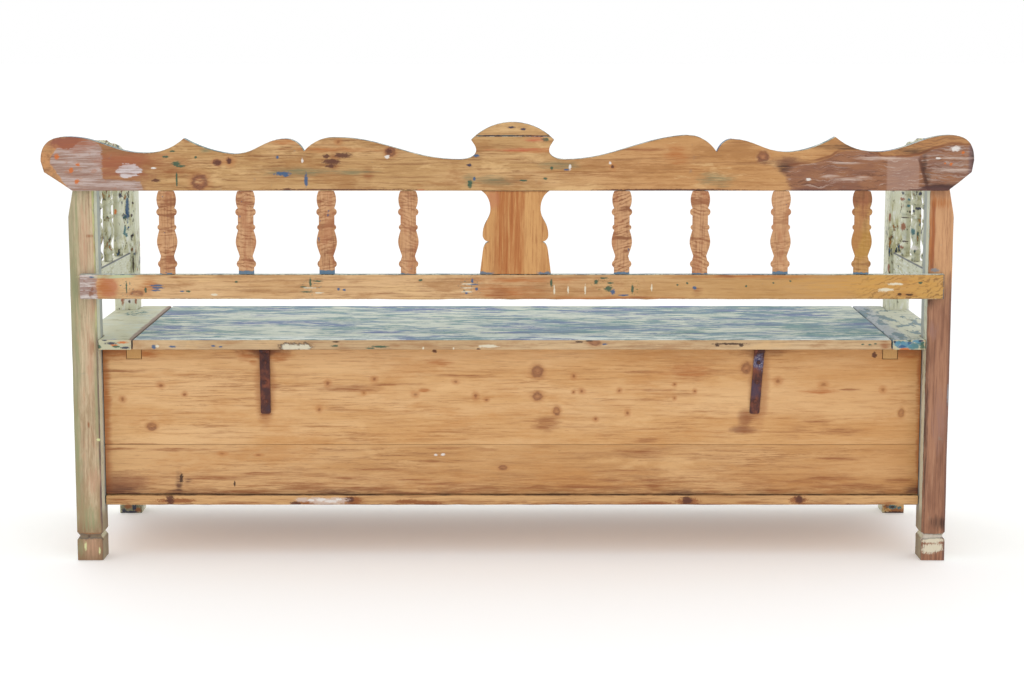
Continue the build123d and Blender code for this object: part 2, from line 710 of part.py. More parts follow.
with BuildPart() as drawer_stops:
    for sign in (-1, 1):
        slab(on_side(sign, drawer_half_l, drawer_half_l + stop_t), (drawer_rear_y - stop_l, drawer_rear_y),
             (drawer_bottom + stop_lift, drawer_bottom + stop_lift + stop_h))
finish(drawer_stops, "drawer_stops")

# ---------------------------------------------------------------- folding legs and their bolts
leg_l = leg_pivot_z - leg_clear
leg_rear_y = leg_front_y + leg_t
nut_y = leg_rear_y + leg_run + washer_t
with BuildPart() as leg_bolts:
    for sign in (-1, 1):
        centre = (sign * leg_x, leg_pivot_z)
        rod(bolt_head_r, front_y - bolt_head_h, front_y, "Y", centre)
        rod(bolt_r, front_y, nut_y + nut_t, "Y", centre)
        rod(washer_r, nut_y - washer_t, nut_y, "Y", centre)
        slab((centre[0] - nut_w / 2, centre[0] + nut_w / 2), (nut_y, nut_y + nut_t),
             (leg_pivot_z - nut_w / 2, leg_pivot_z + nut_w / 2))
finish(leg_bolts, "leg_bolts")

for side, sign in sides:
    with BuildPart() as folding_leg:
        # folded: the leg lies along the front board, its foot towards the middle
        with BuildSketch(Plane.XZ.offset(-leg_rear_y)):
            with Locations((sign * leg_x, leg_pivot_z)):
                Circle(leg_w / 2)
            with Locations((sign * (leg_x - leg_l / 2), leg_pivot_z)):
                Rectangle(leg_l, leg_w)
            with Locations((sign * leg_x, leg_pivot_z)):
                Circle(bolt_hole_r, mode=Mode.SUBTRACT)
        extrude(amount=leg_t)
    finish(folding_leg, f"folding_leg_{side}")

# ---------------------------------------------------------------- joints, for the record
drawer_travel = (drawer_rear_y - stop_l) - front_in_y - stop_run
lid_top_rise = seat_top - hinge_z
lean_back = math.degrees(math.asin((rear_y - hinge_y - lid_top_rise) / (crest_z + cap_h - hinge_z)))
print("lid hinge y, z:", hinge_y, hinge_z, "opens to", 90 + lean_back, "degrees")
print("drawer travel:", drawer_travel)
print("leg pivots x, z:", leg_x, leg_pivot_z)
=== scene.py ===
# %% [markdown]
# # A pine settle that pulls out into a bed
# The model arrives as plain, exact boards. This notebook looks at each kind of surface on an old
# painted settle, says how it could be made, and makes it: worn edges in the mesh, and wood, paint
# and iron in the shaders.

# %% Load the boards
import json
import math

import bpy
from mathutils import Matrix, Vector, noise

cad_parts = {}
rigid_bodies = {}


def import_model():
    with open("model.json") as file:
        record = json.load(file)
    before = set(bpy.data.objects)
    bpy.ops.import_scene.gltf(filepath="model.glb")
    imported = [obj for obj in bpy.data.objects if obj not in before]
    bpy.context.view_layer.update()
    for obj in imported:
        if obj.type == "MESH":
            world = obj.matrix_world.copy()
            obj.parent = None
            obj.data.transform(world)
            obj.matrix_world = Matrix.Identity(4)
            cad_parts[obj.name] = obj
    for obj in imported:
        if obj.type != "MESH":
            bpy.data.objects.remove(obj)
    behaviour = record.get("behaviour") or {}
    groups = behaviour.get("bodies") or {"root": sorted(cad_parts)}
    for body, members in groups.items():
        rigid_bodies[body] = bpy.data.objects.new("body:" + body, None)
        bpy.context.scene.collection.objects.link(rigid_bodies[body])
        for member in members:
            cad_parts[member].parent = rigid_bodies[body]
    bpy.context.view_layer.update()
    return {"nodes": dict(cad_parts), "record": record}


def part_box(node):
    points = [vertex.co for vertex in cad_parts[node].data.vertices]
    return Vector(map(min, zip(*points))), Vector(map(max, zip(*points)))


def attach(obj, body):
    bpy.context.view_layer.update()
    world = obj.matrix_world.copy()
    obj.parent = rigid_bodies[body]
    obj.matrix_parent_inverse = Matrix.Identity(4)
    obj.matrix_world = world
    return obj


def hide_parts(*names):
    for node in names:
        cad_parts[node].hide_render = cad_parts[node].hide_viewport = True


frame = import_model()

nodes = frame["nodes"]
body_of_node = {node: body for body, members in frame["record"]["behaviour"]["bodies"].items()
                for node in members}

# %% [markdown]
# ## Camera
# The settle is seen from behind and a little above, as when it stands away from the wall. A long
# lens at a few metres keeps the long rails nearly parallel. The lens comes from the distance at
# which the near and far posts shrink by the right amount.

# %% Camera
eye = Vector((0, 4.562, 1.0457))
look_down = math.radians(7.754)
lens_data = bpy.data.cameras.new("camera")
lens_data.lens = 74.42
lens_data.sensor_width = 36
camera = bpy.data.objects.new("camera", lens_data)
camera.location = eye
camera.rotation_euler = (math.pi / 2 - look_down, 0, math.pi)
bpy.context.scene.collection.objects.link(camera)
bpy.context.scene.camera = camera
print("camera at", tuple(eye))

# %% [markdown]
# ## Floor and light
# A white room does most of the lighting. One large soft lamp behind the settle and one in front
# give the boards a little shape, and no hard shadow.

# %% Floor and light
bpy.ops.object.select_all(action="DESELECT")
bpy.ops.mesh.primitive_plane_add(size=400, location=(0, 0, 0))
floor = bpy.context.object
floor.name = "floor"
floor_paint = bpy.data.materials.new("floor_white")
floor_paint.use_nodes = True
floor_shader = floor_paint.node_tree.nodes["Principled BSDF"]
floor_shader.inputs["Base Color"].default_value = (0.86, 0.86, 0.86, 1)
floor_shader.inputs["Emission Color"].default_value = (1, 1, 1, 1)
floor_shader.inputs["Emission Strength"].default_value = 0.2
floor_shader.inputs["Roughness"].default_value = 0.9
floor_shader.inputs["Specular IOR Level"].default_value = 0.1
floor.data.materials.append(floor_paint)

room = bpy.data.worlds.new("room")
bpy.context.scene.world = room
room.use_nodes = True
room.node_tree.nodes["Background"].inputs["Color"].default_value = (1, 1, 1, 1)
room.node_tree.nodes["Background"].inputs["Strength"].default_value = 1.0
bpy.context.scene.view_settings.view_transform = "Standard"


def soft_lamp(name, place, aim, width, power):
    """A square soft box that looks at a point."""
    data = bpy.data.lights.new(name, "AREA")
    data.size = width
    data.energy = power
    lamp = bpy.data.objects.new(name, data)
    lamp.location = place
    lamp.rotation_euler = (Vector(aim) - Vector(place)).to_track_quat("-Z", "Y").to_euler()
    bpy.context.scene.collection.objects.link(lamp)


soft_lamp("lamp_rear", (-2.2, 4.2, 3.0), (0, 0, 0.5), 2.0, 16)
soft_lamp("lamp_front", (2.4, -4.2, 3.0), (0, 0, 0.5), 2.0, 20)

# %% [markdown]
# ## Shader maths
# A finish is built from many small masks. Wiring each by hand hides the idea, so one small class
# wraps a socket and overloads the operators: a sum on two amounts adds its own Math node. Every
# other node comes from one method, which takes the node's type, its settings and its sockets.


# %% A socket that can be added and multiplied
class Amount:
    """A number, colour or vector on its way along a link."""

    def __init__(self, finish, socket):
        self.finish = finish
        self.socket = socket

    def sum(self, operation, first, second):
        return self.finish.node("ShaderNodeMath", {"operation": operation}, {0: first, 1: second})

    def __add__(self, other):
        return self.sum("ADD", self, other)

    def __sub__(self, other):
        return self.sum("SUBTRACT", self, other)

    def __rsub__(self, other):
        return self.sum("SUBTRACT", other, self)

    def __mul__(self, other):
        return self.sum("MULTIPLY", self, other)

    __radd__ = __add__
    __rmul__ = __mul__

    def at_most(self, other):
        return self.sum("MINIMUM", self, other)

    def at_least(self, other):
        return self.sum("MAXIMUM", self, other)

    def sine(self):
        return self.sum("SINE", self, 0)

    def step(self, low, high):
        """0 below low, 1 above high, smooth between; low may be the larger."""
        ends = {1: low, 2: high, 3: 0.0, 4: 1.0} if low <= high else {1: high, 2: low, 3: 1.0, 4: 0.0}
        return self.finish.node("ShaderNodeMapRange", {"interpolation_type": "SMOOTHSTEP"},
                                {0: self, **ends})

    def band(self, low, high, soft):
        """1 between two limits."""
        return self.step(low - soft, low + soft) * self.step(high + soft, high - soft)

    def under(self, colour, mask):
        """Lay another colour over this one through a mask."""
        return self.finish.over(self, colour, mask)

    def wash(self, screen_colour, mask):
        """Lay a colour from 0 to 255 over this one through a mask."""
        return self.finish.over(self, tone(*screen_colour), mask)

    def size(self):
        return self.sum("ABSOLUTE", self, 0)


# %% A finish and its nodes
SPOT_DEPTH = 0.02


def tone(red, green, blue):
    """A colour from 0 to 255 as on a screen, in the linear light that shaders use."""
    return tuple(((c / 255 + 0.055) / 1.055) ** 2.4 if c > 10 else c / 3295
                 for c in (red, green, blue)) + (1,)


class Finish:
    """A material under construction."""

    def __init__(self, name, roughness=0.8, shine=0.3):
        self.material = bpy.data.materials.new(name)
        self.material.use_nodes = True
        self.tree = self.material.node_tree
        self.shader = self.tree.nodes["Principled BSDF"]
        self.shader.inputs["Roughness"].default_value = roughness
        self.shader.inputs["Specular IOR Level"].default_value = shine
        self.place = self.node("ShaderNodeTexCoord", {}, {}, "Object")
        self.x, self.y, self.z = (self.axis(self.place, letter) for letter in "XYZ")

    def node(self, kind, settings, values, output=0):
        """Add a node: settings first, then numbers or links for its sockets."""
        new = self.tree.nodes.new(kind)
        for key, value in settings.items():
            if key == "stops":
                ramp = new.color_ramp
                while len(ramp.elements) < len(value):
                    ramp.elements.new(0.5)
                for stop, (where, colour) in zip(ramp.elements, value):
                    stop.position = where
                    stop.color = colour
            else:
                setattr(new, key, value)
        for key, value in values.items():
            if isinstance(value, Amount):
                self.tree.links.new(value.socket, new.inputs[key])
            else:
                new.inputs[key].default_value = value
        return Amount(self, new.outputs[output])

    def stretch(self, place, scale, shift=(0, 0, 0)):
        return self.node("ShaderNodeVectorMath", {"operation": "MULTIPLY_ADD"},
                         {0: place, 1: scale, 2: shift})

    def cloud(self, scale, seed=0.0, detail=3.0, rough=0.55, place=None):
        """Smooth noise from 0 to 1, with its own scale on each axis, in bumps per metre."""
        moved = self.stretch(place or self.place, scale, (seed, seed * 1.7, seed * 2.3))
        return self.node("ShaderNodeTexNoise", {}, {"Vector": moved, "Scale": 1.0, "Detail": detail,
                                                    "Roughness": rough})

    def over(self, under, colour, mask):
        """Lay a colour over another through a mask."""
        return self.node("ShaderNodeMix", {"data_type": "RGBA", "blend_type": "MIX"},
                         {0: mask, 6: under, 7: colour}, 2)

    def two_tone(self, first, second, mask):
        """Two colours from 0 to 255, the second where the mask is 1."""
        return self.over(tone(*first), tone(*second), mask)

    def axis(self, place, letter):
        return self.node("ShaderNodeSeparateXYZ", {}, {0: place}, letter)

    def facing(self, letter):
        """1 where the surface faces along an axis, -1 where it faces the other way."""
        return self.axis(self.node("ShaderNodeTexCoord", {}, {}, "Normal"), letter)

    def ramp(self, value, stops):
        """A colour read from a line of stops."""
        return self.node("ShaderNodeValToRGB", {"stops": stops}, {0: value})

    def curve(self, value, points):
        """A height read from a line of points; both run in metres from 0 to 1."""
        return self.ramp(value, tuple((where, (level, level, level, 1)) for where, level in points))

    def near(self, centre, reach):
        """Distance from a centre, counted in reaches: 1 on the rim of the mark."""
        moved = self.stretch(self.place, tuple(1 / r for r in reach),
                             tuple(-c / r for c, r in zip(centre, reach)))
        return self.node("ShaderNodeVectorMath", {"operation": "LENGTH"}, {0: moved}, 1)

    def spot(self, face, x, z, wide, tall):
        """Distance from a spot on a face of the bench, in metres."""
        return self.near((x, face, z), (wide, SPOT_DEPTH, tall))

    def nearest(self, distances):
        """The least of some distances."""
        least = None
        for distance in distances:
            least = distance if least is None else least.at_most(distance)
        return least

    def bare(self, colour, height, depth):
        """Close the finish: colour and relief go to the shader."""
        self.tree.links.new(colour.socket, self.shader.inputs["Base Color"])
        bump = self.node("ShaderNodeBump", {}, {"Strength": 1.0, "Distance": depth, "Height": height})
        self.tree.links.new(bump.socket, self.shader.inputs["Normal"])
        return self.material


print("shader tools ready")

# %% [markdown]
# ## Pine
# Pine is pale early wood with darker late wood between, in lines that run along the board and
# swerve round knots. An image would do it, but has one scale and one place. Here the lines are a
# sine across the grain, bent by a slow cloud and pushed aside by each knot, over broad tone
# changes and fine fibres.

# %% Pine figure
TONES = {"rust": (174, 106, 56), "brown": (146, 90, 54), "olive": (120, 118, 88), "red": (186, 98, 70),
         "plum": (92, 56, 46), "dark": (62, 42, 36), "ochre": (198, 148, 78), "pale": (206, 184, 170),
         "lilac": (152, 114, 100), "moss": (146, 150, 112), "pinkwood": (192, 152, 124),
         "blue": (54, 90, 128), "navy": (40, 46, 74), "green": (54, 88, 70), "white": (226, 220, 214),
         "cream": (220, 212, 188), "orange": (200, 108, 48), "grey": (142, 142, 146),
         "teal": (62, 114, 122), "sky": (84, 136, 160), "straw": (186, 186, 158),
         "yellow": (214, 216, 160), "clay": (160, 96, 66)}
KNOT_RINGS = tuple((where, tone(*c)) for where, c in (
    (0.0, (172, 120, 84)), (0.24, (152, 98, 68)), (0.46, (128, 80, 60)), (0.64, (116, 72, 56)),
    (0.8, (146, 96, 66)), (1.0, (176, 120, 76))))
AXES = {"X": 0, "Y": 1, "Z": 2}
MM = 0.001
KNOT_DEPTH = 0.012
BENDING_KNOT, BIG_KNOT = 6, 8.5  # half sizes in mm from which a knot bends the grain, and shows rings


def along_grain(grain, lengthwise, across):
    """Noise scale with one value along the grain and another across it."""
    return tuple(lengthwise if letter == grain else across for letter in "XYZ")


def pine(finish, palette, grain, across, seed, knots, face, lines, contrast=1.0, deep=0.66):
    """Colour and relief of bare pine. Knots are (x, z, reach x, reach z) in mm on a face."""
    light, middle, dark = (tone(*c) for c in palette)
    v = finish.axis(finish.place, across)
    flow = v
    small, big = [], []
    for x, z, wide, tall in knots:
        d = finish.near((x * MM, face, z * MM), (wide * MM, KNOT_DEPTH, tall * MM))
        if max(wide, tall) > BENDING_KNOT:
            pull = d.step(3.4, 0.7) * 0.85
            flow = flow - (v - (z * MM if across == "Z" else x * MM)) * pull
        (big if max(wide, tall) > BIG_KNOT else small).append(d)
    wander = finish.cloud(along_grain(grain, 1.6, 9), seed, 3, 0.6)
    slow = finish.cloud(along_grain(grain, 2.4, 15), seed + 3, 5, 0.68)
    streak = finish.cloud(along_grain(grain, 4.2, 92), seed + 4, 5, 0.74)
    fibre = finish.cloud(along_grain(grain, 13, 250), seed + 5, 5, 0.78)
    fleck = finish.cloud(along_grain(grain, 50, 520), seed + 6, 2, 0.5)
    patch = finish.cloud(along_grain(grain, 4, 20), seed + 11, 3).step(0.4, 0.66)
    phase = flow * (lines * math.tau) + wander * 26
    line = phase.sine().step(0.2, 1.0)
    colour = finish.over(middle, light, slow.step(0.36, 0.62))
    colour = colour.under(dark, line * patch * (0.24 * contrast))
    colour = colour.under(dark, streak.step(0.51, 0.72) * (0.42 * contrast))
    colour = colour.under(light, fibre.step(0.46, 0.34) * 0.5)
    colour = colour.under(dark, fibre.step(0.5, 0.64) * (patch * 0.45 + 0.28) * contrast)
    colour = colour.under(dark, fleck.step(0.68, 0.76) * (0.5 * contrast))
    ragged = finish.cloud(along_grain(grain, 90, 190), seed + 7, 4, 0.65) - 0.5
    if small:
        d = finish.nearest(small) + ragged * 1.5
        colour = colour.wash((182, 120, 72), d.step(2.4, 0.8) * 0.55)
        colour = colour.wash((134, 82, 50), d.step(1.0, 0.2) * 0.75)
    if big:
        d = finish.nearest(big) + ragged * 0.9
        colour = colour.wash((176, 120, 76), d.step(1.9, 0.9) * 0.5)
        rings = finish.ramp(d * 0.8, KNOT_RINGS)
        colour = colour.under(rings, d.step(1.25, 0.8) * deep)
        colour = colour.wash((92, 58, 48), d.step(1.0, 0.7) * ragged.step(0.02, 0.16) * 0.5)
    return colour, fibre * 0.6 + line * 0.25 + fleck * 0.15


# %% Mottling and marks
def mottled(finish, colour, grain, seed, strength=1.0):
    """Old wood darkens in patches and stays pale in others."""
    cloud = finish.cloud(along_grain(grain, 7, 24), seed, 5, 0.7)
    streak = finish.cloud(along_grain(grain, 5, 150), seed + 1, 5, 0.74)
    colour = colour.wash((156, 106, 60), cloud.step(0.50, 0.64) * (0.5 * strength))
    colour = colour.wash((222, 184, 132), cloud.step(0.46, 0.36) * (0.5 * strength))
    return colour.wash((132, 88, 54), streak.step(0.53, 0.66) * (0.45 * strength))


def marks(finish, colour, groups, face, grain="X", deep=0.008):
    """Stains, which feather along the grain, and chips of old paint, which end sharply."""
    if not groups:
        return colour
    soft = finish.cloud(along_grain(grain, 24, 130), 3.1, 4, 0.7) - 0.5
    lines = finish.cloud(along_grain(grain, 14, 360), 3.7, 3, 0.65).step(0.4, 0.6)
    sharp = finish.cloud(along_grain(grain, 170, 330), 4.7, 5, 0.7) - 0.5
    for name, spots in groups.items():
        kind, tint = name.split(" ")[:2]
        nearest = finish.nearest(finish.near((x * MM, face, z * MM), (wide * MM, deep, tall * MM))
                                 for x, z, wide, tall in spots)
        if kind == "stain":
            mask = (nearest + soft * 3.4).step(2.0, 0.3) * (lines * 0.6 + 0.4) * 0.85
        else:
            mask = (nearest + sharp * 3.0).step(1.55, 0.8) * 0.9
        colour = colour.wash(TONES[tint], mask)
    return colour


# %% [markdown]
# ## Old paint
# The settle was painted at least twice: blue, then a cream that has gone a little green. Where
# hands and feet have rubbed, the cream is worn through to blue, and the blue to wood. Paint wears
# in streaks along the grain, so each layer's edge is a cloud that is stretched along the board.


# %% Paint layers
CREAM = (210, 214, 200)
SLATE = (112, 142, 158)
INDIGO = (98, 116, 160)
CHIP_COLOURS = tuple((where, tone(*c)) for where, c in (
    (0.0, (40, 46, 70)), (0.40, (46, 66, 84)), (0.455, (58, 96, 150)), (0.49, (52, 88, 88)),
    (0.54, (128, 84, 48)), (0.6, (170, 116, 62))))


def streaky_paint(finish, grain, seed, wear_level=0.555):
    """Cream over slate blue, worn through in streaks. Returns colour, relief and where blue shows."""
    streak = finish.cloud(along_grain(grain, 15, 78), seed, 6, 0.72)
    hair = finish.cloud(along_grain(grain, 26, 300), seed + 2, 3, 0.6)
    patch = finish.cloud(along_grain(grain, 3.2, 9), seed + 4, 3)
    wear = streak * 0.66 + hair * 0.14 + patch * 0.34
    blue = wear.step(wear_level - 0.005, wear_level + 0.025)
    hue = finish.cloud(along_grain(grain, 6, 18), seed + 6, 3)
    under = finish.two_tone(SLATE, INDIGO, hue.step(0.54, 0.62))
    under = under.wash((106, 144, 144), hue.step(0.5, 0.42))
    under = under.wash((70, 92, 124), wear.step(wear_level + 0.06, wear_level + 0.12) * 0.7)
    top = finish.two_tone(CREAM, (178, 190, 176), hair.step(0.42, 0.62) * 0.8)
    colour = top.under(under, blue * 0.94)
    scratch = finish.cloud(along_grain(grain, 10, 300), seed + 8, 2, 0.7).step(0.62, 0.7)
    colour = colour.wash((132, 124, 112), scratch * 0.5)
    return colour, (1 - blue) * 0.5 + hair * 0.3, blue


# %% Thick, chipped paint
def chippy_paint(finish, grain, seed, chips=0.5):
    """Thick cream paint, yellowed and crazed, with chips down to blue, teal and wood."""
    broad = finish.cloud((9, 9, 9), seed, 3)
    hair = finish.cloud(along_grain(grain, 30, 170), seed + 1, 5, 0.7)
    crumb = finish.cloud(along_grain(grain, 52, 120), seed + 3, 4, 0.65)
    colour = finish.two_tone((216, 216, 192), (172, 164, 112),
                             (hair * 0.6 + broad * 0.4).step(0.48, 0.62) * 0.8)
    colour = colour.wash((234, 235, 232), (hair * 0.6 + crumb * 0.4).step(0.48, 0.38) * 0.75)
    depth = crumb * 0.7 + broad * 0.3
    colour = colour.wash((116, 108, 82), depth.step(chips + 0.065, chips + 0.10) * 0.7)
    chip = depth.step(chips + 0.10, chips + 0.12)
    kind = finish.cloud((34, 34, 34), seed + 5, 1)
    inside = finish.ramp(kind, CHIP_COLOURS)
    inside.socket.node.color_ramp.interpolation = "CONSTANT"
    colour = colour.under(inside, chip * 0.95)
    line = finish.cloud(along_grain(grain, 9, 120), seed + 7, 4, 0.7).step(0.62, 0.68)
    colour = colour.wash((92, 90, 72), line * 0.7)
    return colour, (1 - chip) * 0.8 + hair * 0.3


# %% Paint that stays in front
def rear_only(finish, face):
    """1 on the rear face and a ragged few millimetres round its edges, 0 in front."""
    ragged = finish.cloud((60, 60, 60), 2.2, 3) * 0.006
    return (finish.y + ragged).step(face - 0.002, face + 0.001)


# %% [markdown]
# ## Worn edges
# Exact boxes have knife edges that catch no light. An old board has corners rubbed round and faces
# that wander. Each board's mesh is copied, its loose triangles are merged into faces, its corners
# are bevelled, it is cut across every few centimetres, and each point is then pushed in a little
# by noise. Pushing in only keeps the boards clear of each other.


# %% Wear a board
def select_only(piece):
    bpy.ops.object.select_all(action="DESELECT")
    piece.select_set(True)
    bpy.context.view_layer.objects.active = piece


def worn(node, axis, pitch, rounding, wear, seed, bumps):
    """A worn copy of a node, which stands for it."""
    source = nodes[node]
    piece = bpy.data.objects.new(node + "_worn", source.data.copy())
    bpy.context.scene.collection.objects.link(piece)
    piece.data.materials.clear()
    select_only(piece)
    bpy.ops.object.mode_set(mode="EDIT")
    bpy.ops.mesh.select_all(action="SELECT")
    bpy.ops.mesh.remove_doubles(threshold=0.00002)
    bpy.ops.mesh.dissolve_limited(angle_limit=math.radians(0.6))
    bpy.ops.object.mode_set(mode="OBJECT")
    if rounding:
        bevel = piece.modifiers.new("rounding", "BEVEL")
        bevel.width = rounding
        bevel.segments = 2
        bevel.limit_method = "ANGLE"
        bevel.angle_limit = math.radians(32)
        bpy.ops.object.modifier_apply(modifier="rounding")
    low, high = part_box(node)
    k = AXES[axis]
    bpy.ops.object.mode_set(mode="EDIT")
    cuts = int((high[k] - low[k]) / pitch)
    direction = [float(k == other) for other in range(3)]
    for number in range(1, cuts):
        where = [0.0, 0.0, 0.0]
        where[k] = low[k] + (high[k] - low[k]) * number / cuts
        bpy.ops.mesh.select_all(action="SELECT")
        bpy.ops.mesh.bisect(plane_co=where, plane_no=direction)
    bpy.ops.object.mode_set(mode="OBJECT")
    shift = Vector((seed * 3.1, seed * 1.3, seed * 2.7))
    normals = [v.normal.copy() for v in piece.data.vertices]
    for v, normal in zip(piece.data.vertices, normals):
        push = 0.5 + 0.5 * noise.noise(v.co * bumps + shift)
        fine = 0.5 + 0.5 * noise.noise(v.co * bumps * 5 + shift)
        v.co -= normal * wear * (push + 0.5 * fine)
    bpy.ops.object.shade_smooth_by_angle(angle=math.radians(40))
    even = piece.modifiers.new("even", "WEIGHTED_NORMAL")
    even.keep_sharp = True
    bpy.ops.object.modifier_apply(modifier="even")
    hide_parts(node)
    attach(piece, body_of_node[node])
    return piece


# %% Dress a board
def dress(piece, material):
    """Give a piece its finish."""
    piece.data.materials.clear()
    piece.data.materials.append(material)


# %% Pine colours: light, middle and dark
PALETTES = {
    "honey": ((222, 180, 130), (208, 160, 106), (158, 106, 64)),
    "amber": ((212, 168, 118), (196, 148, 96), (140, 92, 58)),
    "crest": ((206, 166, 118), (188, 148, 98), (132, 88, 54)),
    "rail": ((214, 176, 130), (198, 156, 108), (148, 104, 68)),
    "edge": ((206, 176, 136), (190, 158, 118), (146, 112, 80)),
    "ledge": ((212, 168, 116), (194, 148, 98), (140, 92, 60)),
    "salmon": ((206, 158, 116), (190, 142, 102), (138, 90, 62)),
    "greytan": ((204, 184, 152), (186, 164, 134), (138, 118, 92)),
    "splat": ((206, 156, 100), (186, 132, 80), (148, 86, 46)),
    "spindle": ((202, 156, 114), (184, 136, 94), (126, 78, 52)),
    "ochre": ((186, 142, 88), (166, 122, 74), (114, 78, 48)),
    "inner": ((184, 144, 102), (164, 122, 82), (120, 84, 56)),
}
print("wood, paint and wear ready")

# %% [markdown]
# ## Where the marks are
# Every knot, stain and chip sits where use and the tree put it, so it is written down by board:
# centre and half size in millimetres, along the bench and up. Stains feather, chips do not.

